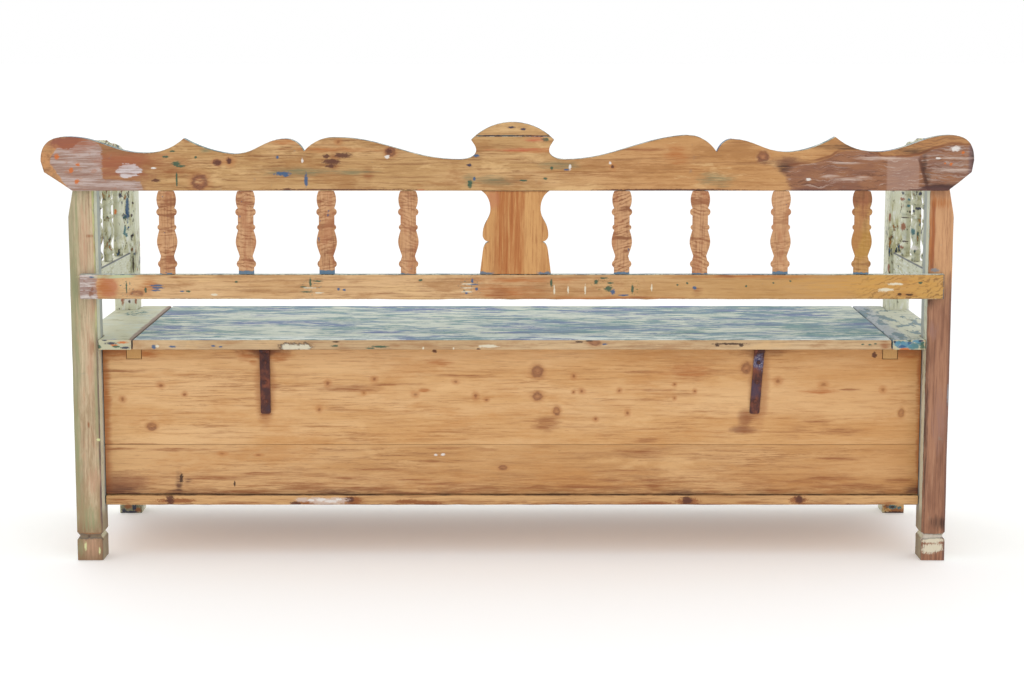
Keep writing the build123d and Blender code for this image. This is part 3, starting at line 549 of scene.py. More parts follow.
# %% Marks by board
MARKS = {
    "crest_rail": {
        "knot": ((631, 788, 17.2, 17.2), (595, 827, 9.1, 7.3), (570, 830, 8.1, 7.7),
            (245, 849, 11.1, 10.1), (350, 869, 5.2, 4.4), (-204, 819, 4.4, 5.2),
            (-506, 838, 12.7, 12.7)),
        "stain clay": ((806, 832, 28.2, 12.1), (769, 836, 52.4, 10.1), (875, 863, 36.3, 10.1)),
        "stain rust": ((-333, 843, 16.1, 14.1), (456, 871, 32.2, 6), (366, 853, 60.5, 4),
            (-68, 851, 60.5, 4)),
        "stain brown": ((357, 832, 8.1, 16.1), (290, 804, 8.1, 10.1), (13, 790, 28.3, 2.8),
            (-259, 853, 40.3, 2.4), (657, 875, 8.1, 5), (685, 808, 20.2, 6.1), (709, 822, 32.3, 8.1)),
        "stain olive": ((39, 791, 32.3, 7.1), (427, 808, 52.5, 6.1), (326, 808, 32.3, 4),
            (618, 851, 10.1, 3.2), (-411, 792, 24.2, 10.1), (-98, 822, 28.2, 6.1),
            (84, 792, 10.1, 8.1)),
        # The two long thin lines at 772 and 773 mm are a painted shadow along the crest's bottom edge.
        "chip plum": ((595, 827, 6, 4), (571, 831, 4.5, 5), (247, 850, 5, 4), (-203, 819, 2.4, 2.4),
            (364, 829, 14.1, 4.4), (342, 842, 14.1, 4.4), (374, 840, 6, 3.2), (366, 820, 8.1, 3),
            (719, 791, 8.1, 2.8), (346, 773, 121.2, 1), (-320, 772, 121.2, 1.8), (454, 773, 8.1, 2.4)),
        "chip blue": ((463, 805, 13.1, 3.2), (457, 802, 6.1, 2.8), (416, 791, 2.8, 11.1),
            (72, 841, 4.8, 2.6), (76, 795, 2.4, 3.2), (-110, 813, 4, 1.4), (473, 838, 2.4, 2.4)),
        "chip navy": ((86, 822, 4, 2.4), (2, 898, 6, 1.6), (-23, 894, 4.8, 2), (13, 881, 52.3, 1.2),
            (-57, 880, 20.1, 1.2)),
        "chip green": ((677, 825, 7.3, 4), (669, 820, 8.1, 2), (677, 794, 1.6, 12.1), (638, 838, 2, 2),
            (685, 850, 4, 1.6), (-67, 795, 3.2, 2.4), (-23, 791, 6.1, 1.8), (-67, 874, 6, 3.2),
            (699, 839, 4.8, 1.8), (85, 784, 3.6, 7.3), (-80, 816, 2.8, 3.2)),
        "chip white": ((423, 831, 1.8, 4.4), (252, 839, 4, 2.8), (724, 816, 4.8, 1.6),
            (-117, 818, 2.2, 4.4), (-198, 827, 2, 2.4)),
        "stain red": ((-45, 874, 14.1, 4.4), (-17, 853, 44.3, 2.4), (186, 772, 6.1, 1.6)),
    },
    "crest_filler_end": {
        "chip orange": ((918, 839, 4, 4.8), (876, 823, 3.2, 2.8), (890, 811, 4, 4.4), (879, 789, 4, 4)),
    },
    "crest_weathered_end": {
        "chip white": ((-599, 793, 4.8, 2.6), (-894, 855, 8.1, 4), (-860, 836, 4, 1.6)),
        "chip orange": ((-910, 847, 2.8, 2.2), (-886, 824, 2.4, 2.4), (-874, 826, 2, 1.4)),
        "stain dark": ((-832, 822, 4, 18.2), (-837, 796, 6.1, 12.1), (-865, 781, 26.3, 3.6),
            (-931, 832, 3.2, 28.2), (-550, 816, 10.1, 8.1), (-682, 859, 68.5, 4), (-813, 851, 24.2, 4)),
        "stain pale": ((-683, 794, 22.2, 2.4), (-708, 798, 12.1, 1.8), (-743, 836, 40.3, 2.8),
            (-673, 826, 24.2, 1.6), (-895, 812, 28.2, 2), (-904, 836, 28.2, 1.6), (-643, 800, 16.1, 2)),
    },
    "lower_back_rail": {
        "knot": ((763, 561, 14.2, 7.3),),
        "stain rust": ((830, 575, 14.2, 18.3), (739, 575, 12.2, 12.2), (13, 565, 52.9, 10.2),
            (-188, 552, 122.1, 2.8), (-505, 597, 121.9, 3.3), (-27, 589, 81.3, 4.1)),
        "stain brown": ((-376, 565, 8.1, 6.1), (27, 563, 16.3, 8.1), (-434, 597, 12.2, 2.8),
            (682, 596, 10.2, 2), (-798, 587, 6.1, 8.1), (-800, 560, 16.3, 4.9), (-261, 554, 16.3, 2)),
        "stain ochre": ((-749, 579, 122, 18.3),),
        "chip blue": ((723, 578, 10.2, 1.6), (721, 573, 10.2, 1.6), (725, 568, 8.1, 1.4),
            (671, 566, 4.1, 1.4), (353, 571, 2.4, 2.4), (341, 569, 2.8, 2), (81, 588, 2.2, 4.5),
            (80, 580, 10.2, 1.2), (-205, 565, 4.1, 4.1), (-371, 573, 3, 3), (-227, 558, 8.1, 1.4),
            (93, 563, 2.4, 2.4), (72, 571, 2.4, 2.4), (854, 595, 4.1, 1.4)),
        "chip green": ((784, 575, 1.2, 10.2), (745, 569, 2, 4.9), (658, 566, 4.1, 1.8),
            (560, 585, 3.3, 2), (410, 583, 2, 8.1), (424, 575, 6.1, 1.2), (420, 565, 10.2, 1.2),
            (395, 587, 8.1, 1.2), (-80, 583, 2.2, 6.1), (-171, 585, 3.7, 3.3), (-186, 593, 6.1, 1.6),
            (-196, 572, 6.1, 4.9), (-200, 583, 5.3, 1.6), (-245, 570, 2.2, 7.3), (-336, 579, 1.8, 1.8),
            (-356, 583, 1.8, 1.8), (-476, 577, 1.8, 1.8), (-830, 583, 3.7, 2.2), (186, 589, 3.7, 1.8),
            (-531, 583, 2, 1.6), (-566, 587, 2, 1.6)),
        "chip cream": ((605, 559, 5.7, 1.8), (90, 581, 10.2, 1), (90, 573, 10.2, 1), (90, 565, 10.2, 1),
            (-86, 569, 1.4, 7.3), (-114, 569, 1.4, 6.9), (-149, 569, 1.4, 7.7), (-284, 573, 1.4, 6.1),
            (-760, 569, 12.2, 3.3), (-779, 581, 12.2, 2), (412, 573, 10.2, 1), (394, 563, 8.1, 1)),
        "chip dark": ((-880, 577, 1.2, 20.3), (-788, 560, 4.1, 2.4), (-808, 559, 6.1, 1.8)),
    },
    "back_board_upper": {
        "knot": ((810, 333, 5.4, 5.4), (730, 362, 6.2, 5), (681, 343, 4.6, 4.2), (750, 275, 10.4, 8.7),
            (383, 366, 5, 6.2), (401, 312, 4.6, 5.4), (286, 375, 5.4, 5), (308, 346, 3.3, 3.3),
            (201, 343, 6.2, 4.6), (117, 370, 5.4, 4.6), (76, 340, 5, 6.2), (53, 331, 4.6, 3.7),
            (-53, 391, 12.5, 13.3), (-53, 339, 11.2, 9.6), (-93, 307, 7.5, 9.6), (-128, 381, 4.2, 5),
            (-145, 350, 5.4, 4.6), (-128, 348, 3.5, 3.1), (-223, 351, 4.2, 4.2), (-240, 304, 4.2, 6.2),
            (-338, 364, 3.3, 3.3), (-380, 350, 3.5, 4.2), (-338, 335, 3.3, 3.3), (-486, 398, 10.4, 12.5),
            (-552, 371, 7.1, 6.2), (-647, 363, 7.5, 5.8), (-771, 353, 5.4, 5.4), (-810, 304, 6.2, 9.2),
            (-174, 291, 4.2, 4.2)),
        "stain rust": ((826, 426, 24.9, 8.3), (754, 428, 18.7, 5), (-822, 426, 27, 7.5),
            (-643, 350, 24.9, 4.2), (183, 351, 8.3, 3.3), (-371, 390, 37.4, 10.4), (148, 411, 20.7, 6.2),
            (537, 411, 8.3, 6.2), (843, 331, 6.2, 83.2), (551, 422, 16.6, 8.3), (478, 422, 16.6, 8.3),
            (-847, 352, 5, 83.1)),
        "stain brown": ((265, 364, 54, 2.1), (92, 382, 49.8, 2.1), (336, 356, 41.6, 5.4),
            (491, 361, 8.3, 5), (-492, 293, 10.4, 12.5), (-493, 267, 16.7, 5), (-687, 265, 33.3, 5.4),
            (-634, 286, 25, 2.9), (-701, 353, 14.5, 2.1), (-72, 281, 18.7, 12.5), (-267, 390, 29.1, 1.9),
            (-298, 352, 41.6, 1.9), (139, 230, 29.2, 2.1), (-285, 245, 18.8, 4.2), (819, 392, 41.5, 2.1),
            (796, 236, 41.7, 2.9), (515, 304, 10.4, 8.3)),
        "chip plum": ((161, 434, 4.1, 2.7), (-752, 426, 4.1, 5)),
    },
    "back_board_lower": {
        "knot": ((19, 188, 9.2, 5.4), (604, 218, 7.5, 3.3), (529, 215, 7.1, 2.5)),
        "stain brown": ((683, 226, 50.1, 2.5), (823, 228, 29.2, 2.5), (519, 175, 41.8, 2.5),
            (421, 147, 37.6, 6.3), (299, 143, 41.8, 3.8), (342, 166, 29.3, 2.1), (200, 163, 33.4, 2.1),
            (285, 184, 41.8, 2.1), (147, 154, 41.8, 2.1), (166, 202, 14.6, 2.1), (56, 142, 25.1, 6.3),
            (198, 131, 25.1, 3.3), (139, 229, 25, 2.1), (56, 226, 20.9, 3.3), (-268, 221, 37.6, 6.3),
            (-225, 181, 29.3, 1.9), (-199, 162, 25.1, 2.5), (-298, 151, 12.5, 8.4),
            (-290, 162, 33.4, 2.1), (-58, 145, 20.9, 4.2), (-152, 147, 83.7, 2.1),
            (-681, 207, 29.2, 3.3), (-650, 166, 46, 4.2), (-602, 158, 29.3, 3.3), (-706, 149, 50.2, 4.6),
            (-810, 162, 20.9, 5), (-540, 140, 16.7, 2.5), (568, 136, 62.8, 2.5), (641, 166, 62.7, 3.3)),
        "stain plum": ((819, 140, 41.8, 8.4), (696, 153, 5.4, 20.9), (678, 160, 6.3, 5.4),
            (-369, 134, 33.5, 4.2), (380, 136, 29.3, 4.2), (-844, 140, 16.7, 8.4),
            (704, 134, 16.7, 4.2)),
        # The three long lines at 129 to 132 mm are a painted shadow line along the foot, above the
        # ledge.
        "chip dark": ((198, 129, 18.8, 1.9), (580, 154, 1.7, 4.6), (691, 166, 3.1, 8.4),
            (-269, 129, 125.6, 1), (359, 129, 125.6, 1), (715, 132, 104.6, 1)),
        "chip white": ((159, 215, 3.1, 1.9), (144, 216, 3.8, 1.9)),
    },
    "floor_board_rear": {
        "stain brown": ((216, 117, 20.9, 5), (86, 117, 96, 3.3), (-151, 115, 96, 2.5),
            (-278, 115, 33.4, 3.8), (-508, 116, 29.2, 3.3), (-784, 115, 16.7, 2.9),
            (-421, 113, 25.1, 3.3), (567, 115, 41.8, 2.1), (817, 122, 18.8, 5), (339, 119, 20.9, 6.3),
            (-644, 114, 41.8, 2.1)),
        "chip brown": ((702, 120, 34, 4), (333, 120, 15, 8), (216, 118, 22, 4), (-368, 118, 20, 7),
            (-598, 121, 15, 7), (424, 116, 24, 5), (180, 115, 26, 4), (-300, 114, 30, 3)),
        "chip plum": ((714, 122, 7.1, 9.2), (-366, 120, 9, 8), (-600, 123, 8, 7), (340, 122, 9, 5),
            (452, 114, 10, 4)),
        "chip pale": ((404, 121, 20, 5.4), (366, 121, 20, 5), (437, 122, 12, 4.2), (385, 115, 28, 3)),
        "chip white": ((398, 122, 9, 3), (378, 119, 12, 2.4), (420, 121, 6, 2), (362, 123, 6, 2)),
    },
    "lid_board_rear": {
        "knot": ((-170, 457, 12.4, 6.2),),
        "chip dark under": ((425, 449, 14, 7.4), (446, 449, 15, 7.6), (464, 449, 12, 7.2),
            (-444, 455, 29, 1.6), (-470, 452, 4, 3.4), (-420, 453, 4, 3)),
        "chip cream fill": ((427, 448, 12, 5.2), (446, 448, 13, 5.4), (462, 448, 9, 5)),
        "stain brown": ((-765, 451, 7.4, 6.2), (703, 442, 8.2, 1.6), (160, 441, 4.9, 2.1)),
        "chip blue": ((735, 449, 3.7, 3.3), (697, 449, 6.2, 1.6), (613, 451, 4.1, 1.6),
            (598, 449, 3.3, 1.2), (-190, 454, 4.1, 1.4)),
        "chip green": ((273, 449, 14.4, 1.9), (291, 446, 8.2, 1.2), (-720, 454, 2.9, 1.2),
            (-734, 453, 2.5, 1.6), (-746, 455, 2.5, 1.2), (363, 451, 6.2, 1.6)),
        "chip cream": ((728, 451, 2.9, 2.9), (300, 441, 12.4, 1.4), (182, 446, 1.6, 2.7),
            (120, 445, 1.6, 2.1), (50, 450, 16.5, 2.5)),
        "chip dark": ((69, 443, 2.9, 2.5), (361, 459, 6.2, 1.2), (-137, 459, 6.2, 1.4),
            (-157, 461, 6.2, 1.4)),
    },
    "seat_side_board_right": {
        "chip straw under": ((812, 453, 30, 12), (838, 453, 20, 12)),
        "chip navy": ((823, 456, 9.5, 2.3), (794, 447, 7.4, 2.1), (836, 463, 4.1, 1.6)),
        "chip orange": ((798, 458, 9.5, 2.1), (817, 452, 6.2, 1.6)),
        "chip green": ((812, 449, 6.2, 1.6), (847, 448, 2.9, 4.1)),
    },
    "seat_side_board_left": {
        "chip straw under": ((-800, 453, 22, 12), (-826, 453, 22, 12)),
        "chip teal": ((-824, 450, 12, 6), (-796, 458, 10, 3), (-838, 456, 6, 4)),
        "chip sky": ((-806, 453, 11, 6), (-791, 455, 5, 5), (-830, 460, 8, 2.4)),
        "chip blue": ((-801, 449, 7, 3), (-816, 457, 4, 3)),
        "chip green": ((-842, 451, 4.1, 7), (-816, 461, 3.1, 2.1)),
        "chip navy": ((-839, 461, 4.1, 2.1), (-785, 459, 2.1, 2.1)),
        "chip orange": ((-806, 444, 8.2, 2.1),),
    },
    "arm_spindle_left_2": {
        "chip navy": ((-876, 747, 3.5, 3), (-874, 715, 5, 2.4), (-865, 709, 2.4, 2.4)),
        "chip teal": ((-864, 665, 3, 6),),
        "chip white": ((-866, 630, 8, 4), (-862, 641, 6, 2)),
    },
    "arm_spindle_left_3": {
        "chip navy": ((-860, 739, 4.5, 3.4),),
        "chip clay": ((-860, 726, 5, 3.4), (-859, 712, 5, 3), (-865, 666, 4, 7), (-861, 619, 4, 4)),
        "chip teal": ((-875, 726, 3, 2.6), (-875, 712, 3, 2.6)),
        "chip dark": ((-878, 699, 2.4, 2.4), (-866, 686, 9, 1.2), (-868, 633, 8, 1.4)),
    },
    "arm_spindle_right_3": {
        "chip navy": ((864, 735, 3, 4.5),),
        "chip orange": ((875, 699, 2.4, 4),),
    },
    "arm_spindle_right_1": {
        "chip dark": ((866, 718, 4, 9),),
    },
    "front_post_right": {
        "chip blue": ((865.5, 700, 3.5, 23),),
        "chip teal": ((873.5, 651, 3.6, 10), (869, 640, 2.4, 4)),
        "chip white": ((868, 500, 14, 12),),
        "chip clay": ((881, 497, 3.4, 12), (851, 495, 2.6, 9)),
        "chip olive": ((868, 10, 20, 11), (888, 14, 10, 9)),
        "chip brown": ((880, 16, 7, 5), (858, 8, 6, 5)),
        "chip navy": ((866, 14, 4, 6), (890, 6, 4, 5), (875, 3, 14, 2.4)),
        "chip dark": ((855, 575, 2, 14), (853, 712, 2, 2.4), (856, 684, 2, 3), (855, 638, 2, 2),
            (866, 489, 2, 3)),
    },
    "front_post_left": {
        "chip ochre foot": ((-876, 11, 26, 12),),
        "chip brown foot": ((-884, 6, 18, 5), (-862, 16, 8, 4)),
        "chip teal foot": ((-872, 15, 9, 4), (-888, 13, 4, 3)),
        "chip dark foot": ((-876, 2, 22, 2.4), (-872, 15, 5, 2)),
        "chip clay": ((-850, 680, 3, 8), (-850, 565, 3, 9)),
        "chip navy": ((-857, 742, 3, 3.4),),
    },
    "rear_post_left": {
        "stain rust": ((-855, 677, 4.5, 61.1), (-867, 744, 20.3, 8.1), (-855, 638, 3.3, 28.5)),
        "stain lilac": ((-862, 482, 8.2, 12.3), (-883, 297, 12.4, 41.2)),
        # The long line at -853 mm is painted shade along the post's inner edge; the other dark marks are
        # stains.
        "stain dark": ((-853, 297, 3.1, 185.5), (-906, 171, 3.3, 62.1), (-854, 546, 6.1, 12.3),
            (-889, 80, 18.7, 10.4)),
        "chip grey": ((-863, 607, 6.9, 3.3), (-897, 349, 1.6, 18.5)),
        "chip cream": ((-873, 44, 19.7, 5.4), (-868, 25, 14.5, 8.3), (-882, 28, 10.4, 7.5),
            (-890, 53, 10.4, 2.9)),
    },
    "rear_post_right": {
        "stain moss": ((893, 546, 7, 122.7), (894, 28, 7, 14), (899, 255, 7, 123.8), (874, 86, 12.4, 29),
            (855, 380, 3.3, 123.3), (886, 710, 2.8, 61), (839, 638, 4.1, 24.5)),
        "stain pinkwood": ((865, 422, 6.2, 61.6), (858, 546, 7, 40.9), (864, 171, 10.3, 20.7),
            (872, 33, 14.5, 20.8), (871, 669, 8.1, 61.1)),
        "stain brown": ((873, 287, 2.1, 4.9), (860, 449, 4.9, 12.3), (849, 669, 2.4, 53),
            (875, 56, 18.7, 2.5), (860, 677, 5.3, 2.4)),
        "chip yellow": ((845, 689, 1.6, 57), (853, 255, 3.3, 2.5), (855, 593, 24.5, 1.6),
            (857, 21, 1.7, 5.5), (886, 31, 1.9, 7)),
    },
}
print(sum(len(spots) for board in MARKS.values() for spots in board.values()), "marks")


def knots_of(board):
    """A board's knots, which bend its grain."""
    return MARKS.get(board, {}).get("knot", ())


def stains_of(board):
    """A board's other marks, by kind."""
    return {name: spots for name, spots in MARKS.get(board, {}).items() if name != "knot"}


# %% [markdown]
# ## Stripped boards
# The back of the settle was stripped to bare honey pine, and the front faces still carry the
# paint. Two materials on one board would meet in a straight line. One material that changes with
# depth can be ragged, so the change happens at the arris, where the paint's edge shows from behind
# as a thin pale line.


# %% Stripped finish
def stripped(name, palette, grain, across, seed, board, face, front, extra, lines=95, contrast=1.0,
             deep=0.66, side=None, arris=None):
    """Bare pine behind, old paint in front."""
    finish = Finish(name, roughness=0.78)
    colour, height = pine(finish, PALETTES[palette], grain, across, seed, knots_of(board), face, lines,
                          contrast, deep)
    colour = marks(finish, extra(finish, colour), stains_of(board), face, grain)
    if front == "none":
        return finish.bare(colour, height, 0.0008)
    if front == "streaky":
        paint, relief, _ = streaky_paint(finish, grain, seed + 20)
    else:
        paint, relief = chippy_paint(finish, grain, seed + 20)
    if side:
        paint = side(finish, paint)
    if arris:
        paint = paint.wash((96, 106, 102), finish.y.step(arris + 0.0035, arris + 0.002) * 0.8)
        speckle = finish.cloud((90, 60, 90), seed + 19, 3, 0.7)
        rim = finish.two_tone((206, 208, 190), (92, 98, 92), speckle.step(0.46, 0.54))
        upward = finish.facing("Z").step(0.30, 0.55)
        colour = colour.under(rim, upward * speckle.step(0.30, 0.40) * 0.85)
    behind = rear_only(finish, face)
    colour = paint.under(colour, behind).wash((92, 96, 92), behind * (1 - behind) * 2.4)
    return finish.bare(colour, relief * (1 - behind) * 0.8 + height * behind * 0.6, 0.0009)


# %% [markdown]
# ### The crest rail
# The scalloped crest is sawn from one board. Seen from behind, its left end keeps a patch of
# pinkish filler brushed over reddish wood inside a tan rim. The right end was never stripped well
# and is mauve and weathered. The sawn outline drifts a little along the board, never twice alike.

# %% Crest sizes
CREST_FACE = 0.2835
CREST_FRONT = 0.2615  # where the crest rail and the lower rail meet the posts
CREST_FOOT, HEEL_RISE = 0.770, 0.045  # over this rise the outline goes from the heel's drift to its own
SCALLOPS, SCALLOP_RISE = 0.800, 0.035
HEEL_START = 850  # mm from the middle, where an end's heel begins
FILLER_HEEL, WEATHERED_HEEL = -3.5, 11  # mm that each heel drifts
MAUVE_TOP = ((0.52, 0.806), (0.540, 0.813), (0.558, 0.8185), (0.608, 0.827), (0.641, 0.837),
             (0.658, 0.848), (0.709, 0.852), (0.735, 0.846), (0.747, 0.836), (0.797, 0.8375),
             (0.822, 0.841), (0.848, 0.853), (0.885, 0.863), (0.94, 0.861))
DRIFT = ((-941, 8.5, 0), (-889, 3, 1), (-737, 4, 3.5), (-653, 1.5, 0.5), (-562, 0, 4), (-462, 11, -3),
         (-413, 0, -2), (-333, -16, 3.5), (-230, -6, 1), (-108, -1.6, 0), (108, -1, 0), (350, 8, -1.5),
         (413, 6.5, 0), (450, 5, -2.5), (562, 1, 0), (653, 8.5, -2.5), (737, 1, 1), (889, 9, -2.5),
         (941, 10.6, -2))


# %% Filler on one end of the crest
def filler_end(finish, colour, x, z):
    """Pinkish filler brushed over reddish wood, inside a tan rim."""
    wobble = finish.cloud((42, 30, 60), 8.1, 5, 0.68) - 0.5
    slow = finish.cloud((18, 30, 18), 8.5, 3) - 0.5
    brush = finish.cloud((13, 30, 230), 9.3, 5, 0.74)
    blot = finish.cloud((70, 30, 90), 9.9, 4, 0.7)
    reddish = (x + wobble * 0.10).step(0.695, 0.765) * (z + (x - 0.7) * 0.06).step(0.872, 0.858)
    colour = colour.wash((156, 108, 74), reddish * 0.7)
    colour = colour.wash((124, 80, 52), reddish * brush.step(0.5, 0.62) * 0.6)
    over_it = (z + wobble * 0.03).step(0.838, 0.848) * (x + wobble * 0.1).step(0.71, 0.76)
    colour = colour.wash((140, 98, 66), over_it * x.step(0.845, 0.83) * 0.6)
    square = (x + wobble * 0.08).step(0.722, 0.765) * (x + wobble * 0.006).step(0.828, 0.8255)
    square = square * (z + wobble * 0.02).band(0.7955, 0.842, 0.006)
    colour = colour.wash((150, 90, 66), square * brush.step(0.3, 0.6) * 0.85)
    colour = colour.wash((190, 136, 100), square * brush.step(0.46, 0.36) * 0.5)
    rim = x.step(0.84, 0.87)
    colour = colour.wash((200, 146, 98), rim * blot.step(0.35, 0.6) * 0.85)
    crown = finish.spot(CREST_FACE, 0.893, 0.868, 0.043, 0.015)
    colour = colour.wash((140, 82, 70), (crown + wobble * 2.0).step(1.3, 0.6) * 0.9)
    heel = (z - 0.770) * 0.7315 + 0.8935 - x + wobble * 0.014 + slow * 0.02
    top = 0.8565 + x.step(0.905, 0.850) * 0.014 - z + wobble * 0.034 + slow * 0.012
    inner = x + wobble * 0.012 + (brush - 0.5) * 0.03
    corner = finish.spot(CREST_FACE, 0.872, 0.812, 0.0600, 0.066)
    body = heel.step(-0.001, 0.003) * top.step(-0.001, 0.002)
    body = body * inner.step(0.8255, 0.8285) * (corner + wobble * 0.3).step(1.05, 1.0)
    below = 0.7945 - (0.826 - x) * 0.07 - z + wobble * 0.010
    band = below.step(-0.001, 0.002) * (x + wobble * 0.04).band(0.752, 0.838, 0.003)
    island = finish.spot(CREST_FACE, 0.7735, 0.8115, 0.0235, 0.0125)
    island = (island + wobble * 1.8 + (brush - 0.5) * 1.6).step(1.08, 0.94)
    residue = finish.two_tone((188, 170, 164), (150, 120, 106), brush.step(0.42, 0.56) * 0.85)
    residue = residue.wash((132, 90, 76), brush.step(0.56, 0.68) * 0.75)
    residue = residue.wash((172, 120, 94), blot.step(0.56, 0.68) * 0.55)
    residue = residue.wash((206, 196, 196), island * brush.step(0.62, 0.5))
    filler = body.at_least(band).at_least(island)
    return colour.under(residue, filler * 0.93)


# %% Weather on the other end
def weathered_end(finish, colour, x, z):
    """Mauve, weathered wood under an orange rim, with pale wavy streaks and a painted shadow along the
    lower edge near the tip.
    """
    wobble = finish.cloud((30, 30, 60), 8.7, 5, 0.66) - 0.5
    wave = finish.cloud((26, 20, 44), 12.9, 4) * 0.022
    bent = finish.node("ShaderNodeVectorMath", {"operation": "ADD"}, {0: finish.place, 1: finish.node(
        "ShaderNodeCombineXYZ", {}, {2: wave})})
    pale = finish.cloud((15, 20, 290), 12.3, 5, 0.78, place=bent)
    dark = finish.cloud((11, 20, 210), 13.7, 5, 0.76, place=bent)
    broad = finish.cloud((14, 14, 40), 14.9, 3)
    orange = x.step(-0.60, -0.70) * z.step(0.825, 0.84)
    colour = colour.wash((172, 122, 78), orange * 0.75)
    colour = colour.wash((122, 84, 60), orange * dark.step(0.46, 0.6) * 0.6)
    smoke = finish.spot(CREST_FACE, -0.552, 0.826, 0.034, 0.013)
    colour = colour.wash((116, 76, 58), (smoke + wobble * 2.4).step(1.4, 0.3) * 0.8)
    top = finish.curve(x * -1, MAUVE_TOP) - z + wobble * 0.008
    notch = z.step(0.79, 0.81) * z.step(0.828, 0.812) * 0.018
    inside = (x + wobble * 0.07 - notch).step(-0.548, -0.568)
    line = top.band(-0.0055, -0.0005, 0.002) * x.step(-0.54, -0.56)
    colour = colour.wash((124, 74, 50), line * broad.step(0.3, 0.55) * 0.8)
    mauve = finish.two_tone((148, 102, 74), (130, 88, 70), broad.step(0.42, 0.6))
    mauve = mauve.wash((98, 62, 50), dark.step(0.5, 0.64) * 0.8)
    greyer = x.step(-0.745, -0.765)
    mauve = mauve.wash((172, 142, 128), x.band(-0.822, -0.757, 0.003) * 0.5)
    mauve = mauve.wash((188, 166, 154), pale.step(0.54, 0.62) * (greyer * 0.35 + 0.5))
    seam = x - (z - 0.834) * 0.30
    crack = (seam + wobble * 0.006 + 0.8225).size().step(0.005, 0.0015) * z.step(0.84, 0.83)
    mauve = mauve.wash((92, 56, 46), crack * 0.85)
    tip = seam.step(-0.826, -0.832)
    mauve = mauve.wash((158, 134, 122), tip * pale.step(0.42, 0.58) * 0.6)
    edge = (x + wobble * 0.008).step(-0.917, -0.925)
    mauve = mauve.wash((98, 78, 84), edge * 0.7)
    # Painted shadow along the bottom edge near the end.
    shadow_under_end = finish.spot(CREST_FACE, -0.868, 0.776, 0.038, 0.006)
    mauve = mauve.wash((72, 46, 50), (shadow_under_end + wobble * 1.5).step(1.3, 0.8) * 0.9)
    lip = (z + wobble * 0.004).step(0.775, 0.7725)
    mauve = mauve.wash((94, 62, 58), lip * broad.step(0.4, 0.55) * 0.9)
    return colour.under(mauve, inside * top.step(-0.001, 0.0015) * 0.96)


# %% Both ends together
def crest_ends(finish, colour):
    """Warmer toward the weathered end, mottled, with filler at the other end."""
    x, z = finish.x, finish.z
    knot = finish.spot(CREST_FACE, -0.506, 0.838, 0.016, 0.016)
    warm = x.step(0.0, -0.30) * knot.step(0.9, 1.1)
    colour = colour.wash((186, 126, 70), warm * 0.45)
    colour = mottled(finish, colour, "X", 21.0, 1.1)
    colour = filler_end(finish, colour, x, z)
    colour = weathered_end(finish, colour, x, z)
    for board in ("crest_filler_end", "crest_weathered_end"):
        colour = marks(finish, colour, MARKS[board], CREST_FACE)
    return colour


# %% Reading a drawn line
def between(table, where, column):
    """A value read from a sorted table, straight between its lines."""
    for low, high in zip(table, table[1:]):
        if low[0] <= where <= high[0]:
            return low[column] + (high[column] - low[column]) * (where - low[0]) / (high[0] - low[0])
    return table[0 if where < table[0][0] else -1][column]


def share(value, start, length):
    """How far a value is along a stretch, from 0 to 1."""
    return min(max((value - start) / length, 0), 1)


# %% Saw the crest
crest = worn("crest_rail", "X", 0.03, 0.0032, 0.0012, 1.0, 22)
for v in crest.data.vertices:
    where = v.co.x / MM
    aloft = share(v.co.z, CREST_FOOT, HEEL_RISE)
    heel = FILLER_HEEL if where > HEEL_START else WEATHERED_HEEL if where < -HEEL_START else 0
    v.co.x += (between(DRIFT, where, 1) * aloft + heel * (1 - aloft)) * MM
    v.co.z += between(DRIFT, where, 2) * share(v.co.z, SCALLOPS, SCALLOP_RISE) * MM
dress(crest, stripped("crest_pine", "crest", "X", "Z", 1.3, "crest_rail", CREST_FACE, "streaky",
                      crest_ends, deep=0.85, contrast=1.2, arris=CREST_FRONT))
print(crest.name, len(crest.data.polygons), "faces")

# %% [markdown]
# ### The lower back rail
# It laps over the posts. The lapped ends were painted with the arms, grey at one side, and the
# other end has gone ochre. Rows of tiny paint specks remain where the stripper missed.

# %% Ends of the lower rail
RAIL_FACE = 0.2835
SPECK_ROWS = ((0.085, 0.577, 0.024, 0.020), (-0.185, 0.582, 0.022, 0.016),
              (-0.247, 0.574, 0.012, 0.020), (0.408, 0.575, 0.020, 0.021), (0.784, 0.574, 0.016, 0.020),
              (-0.078, 0.582, 0.006, 0.016))


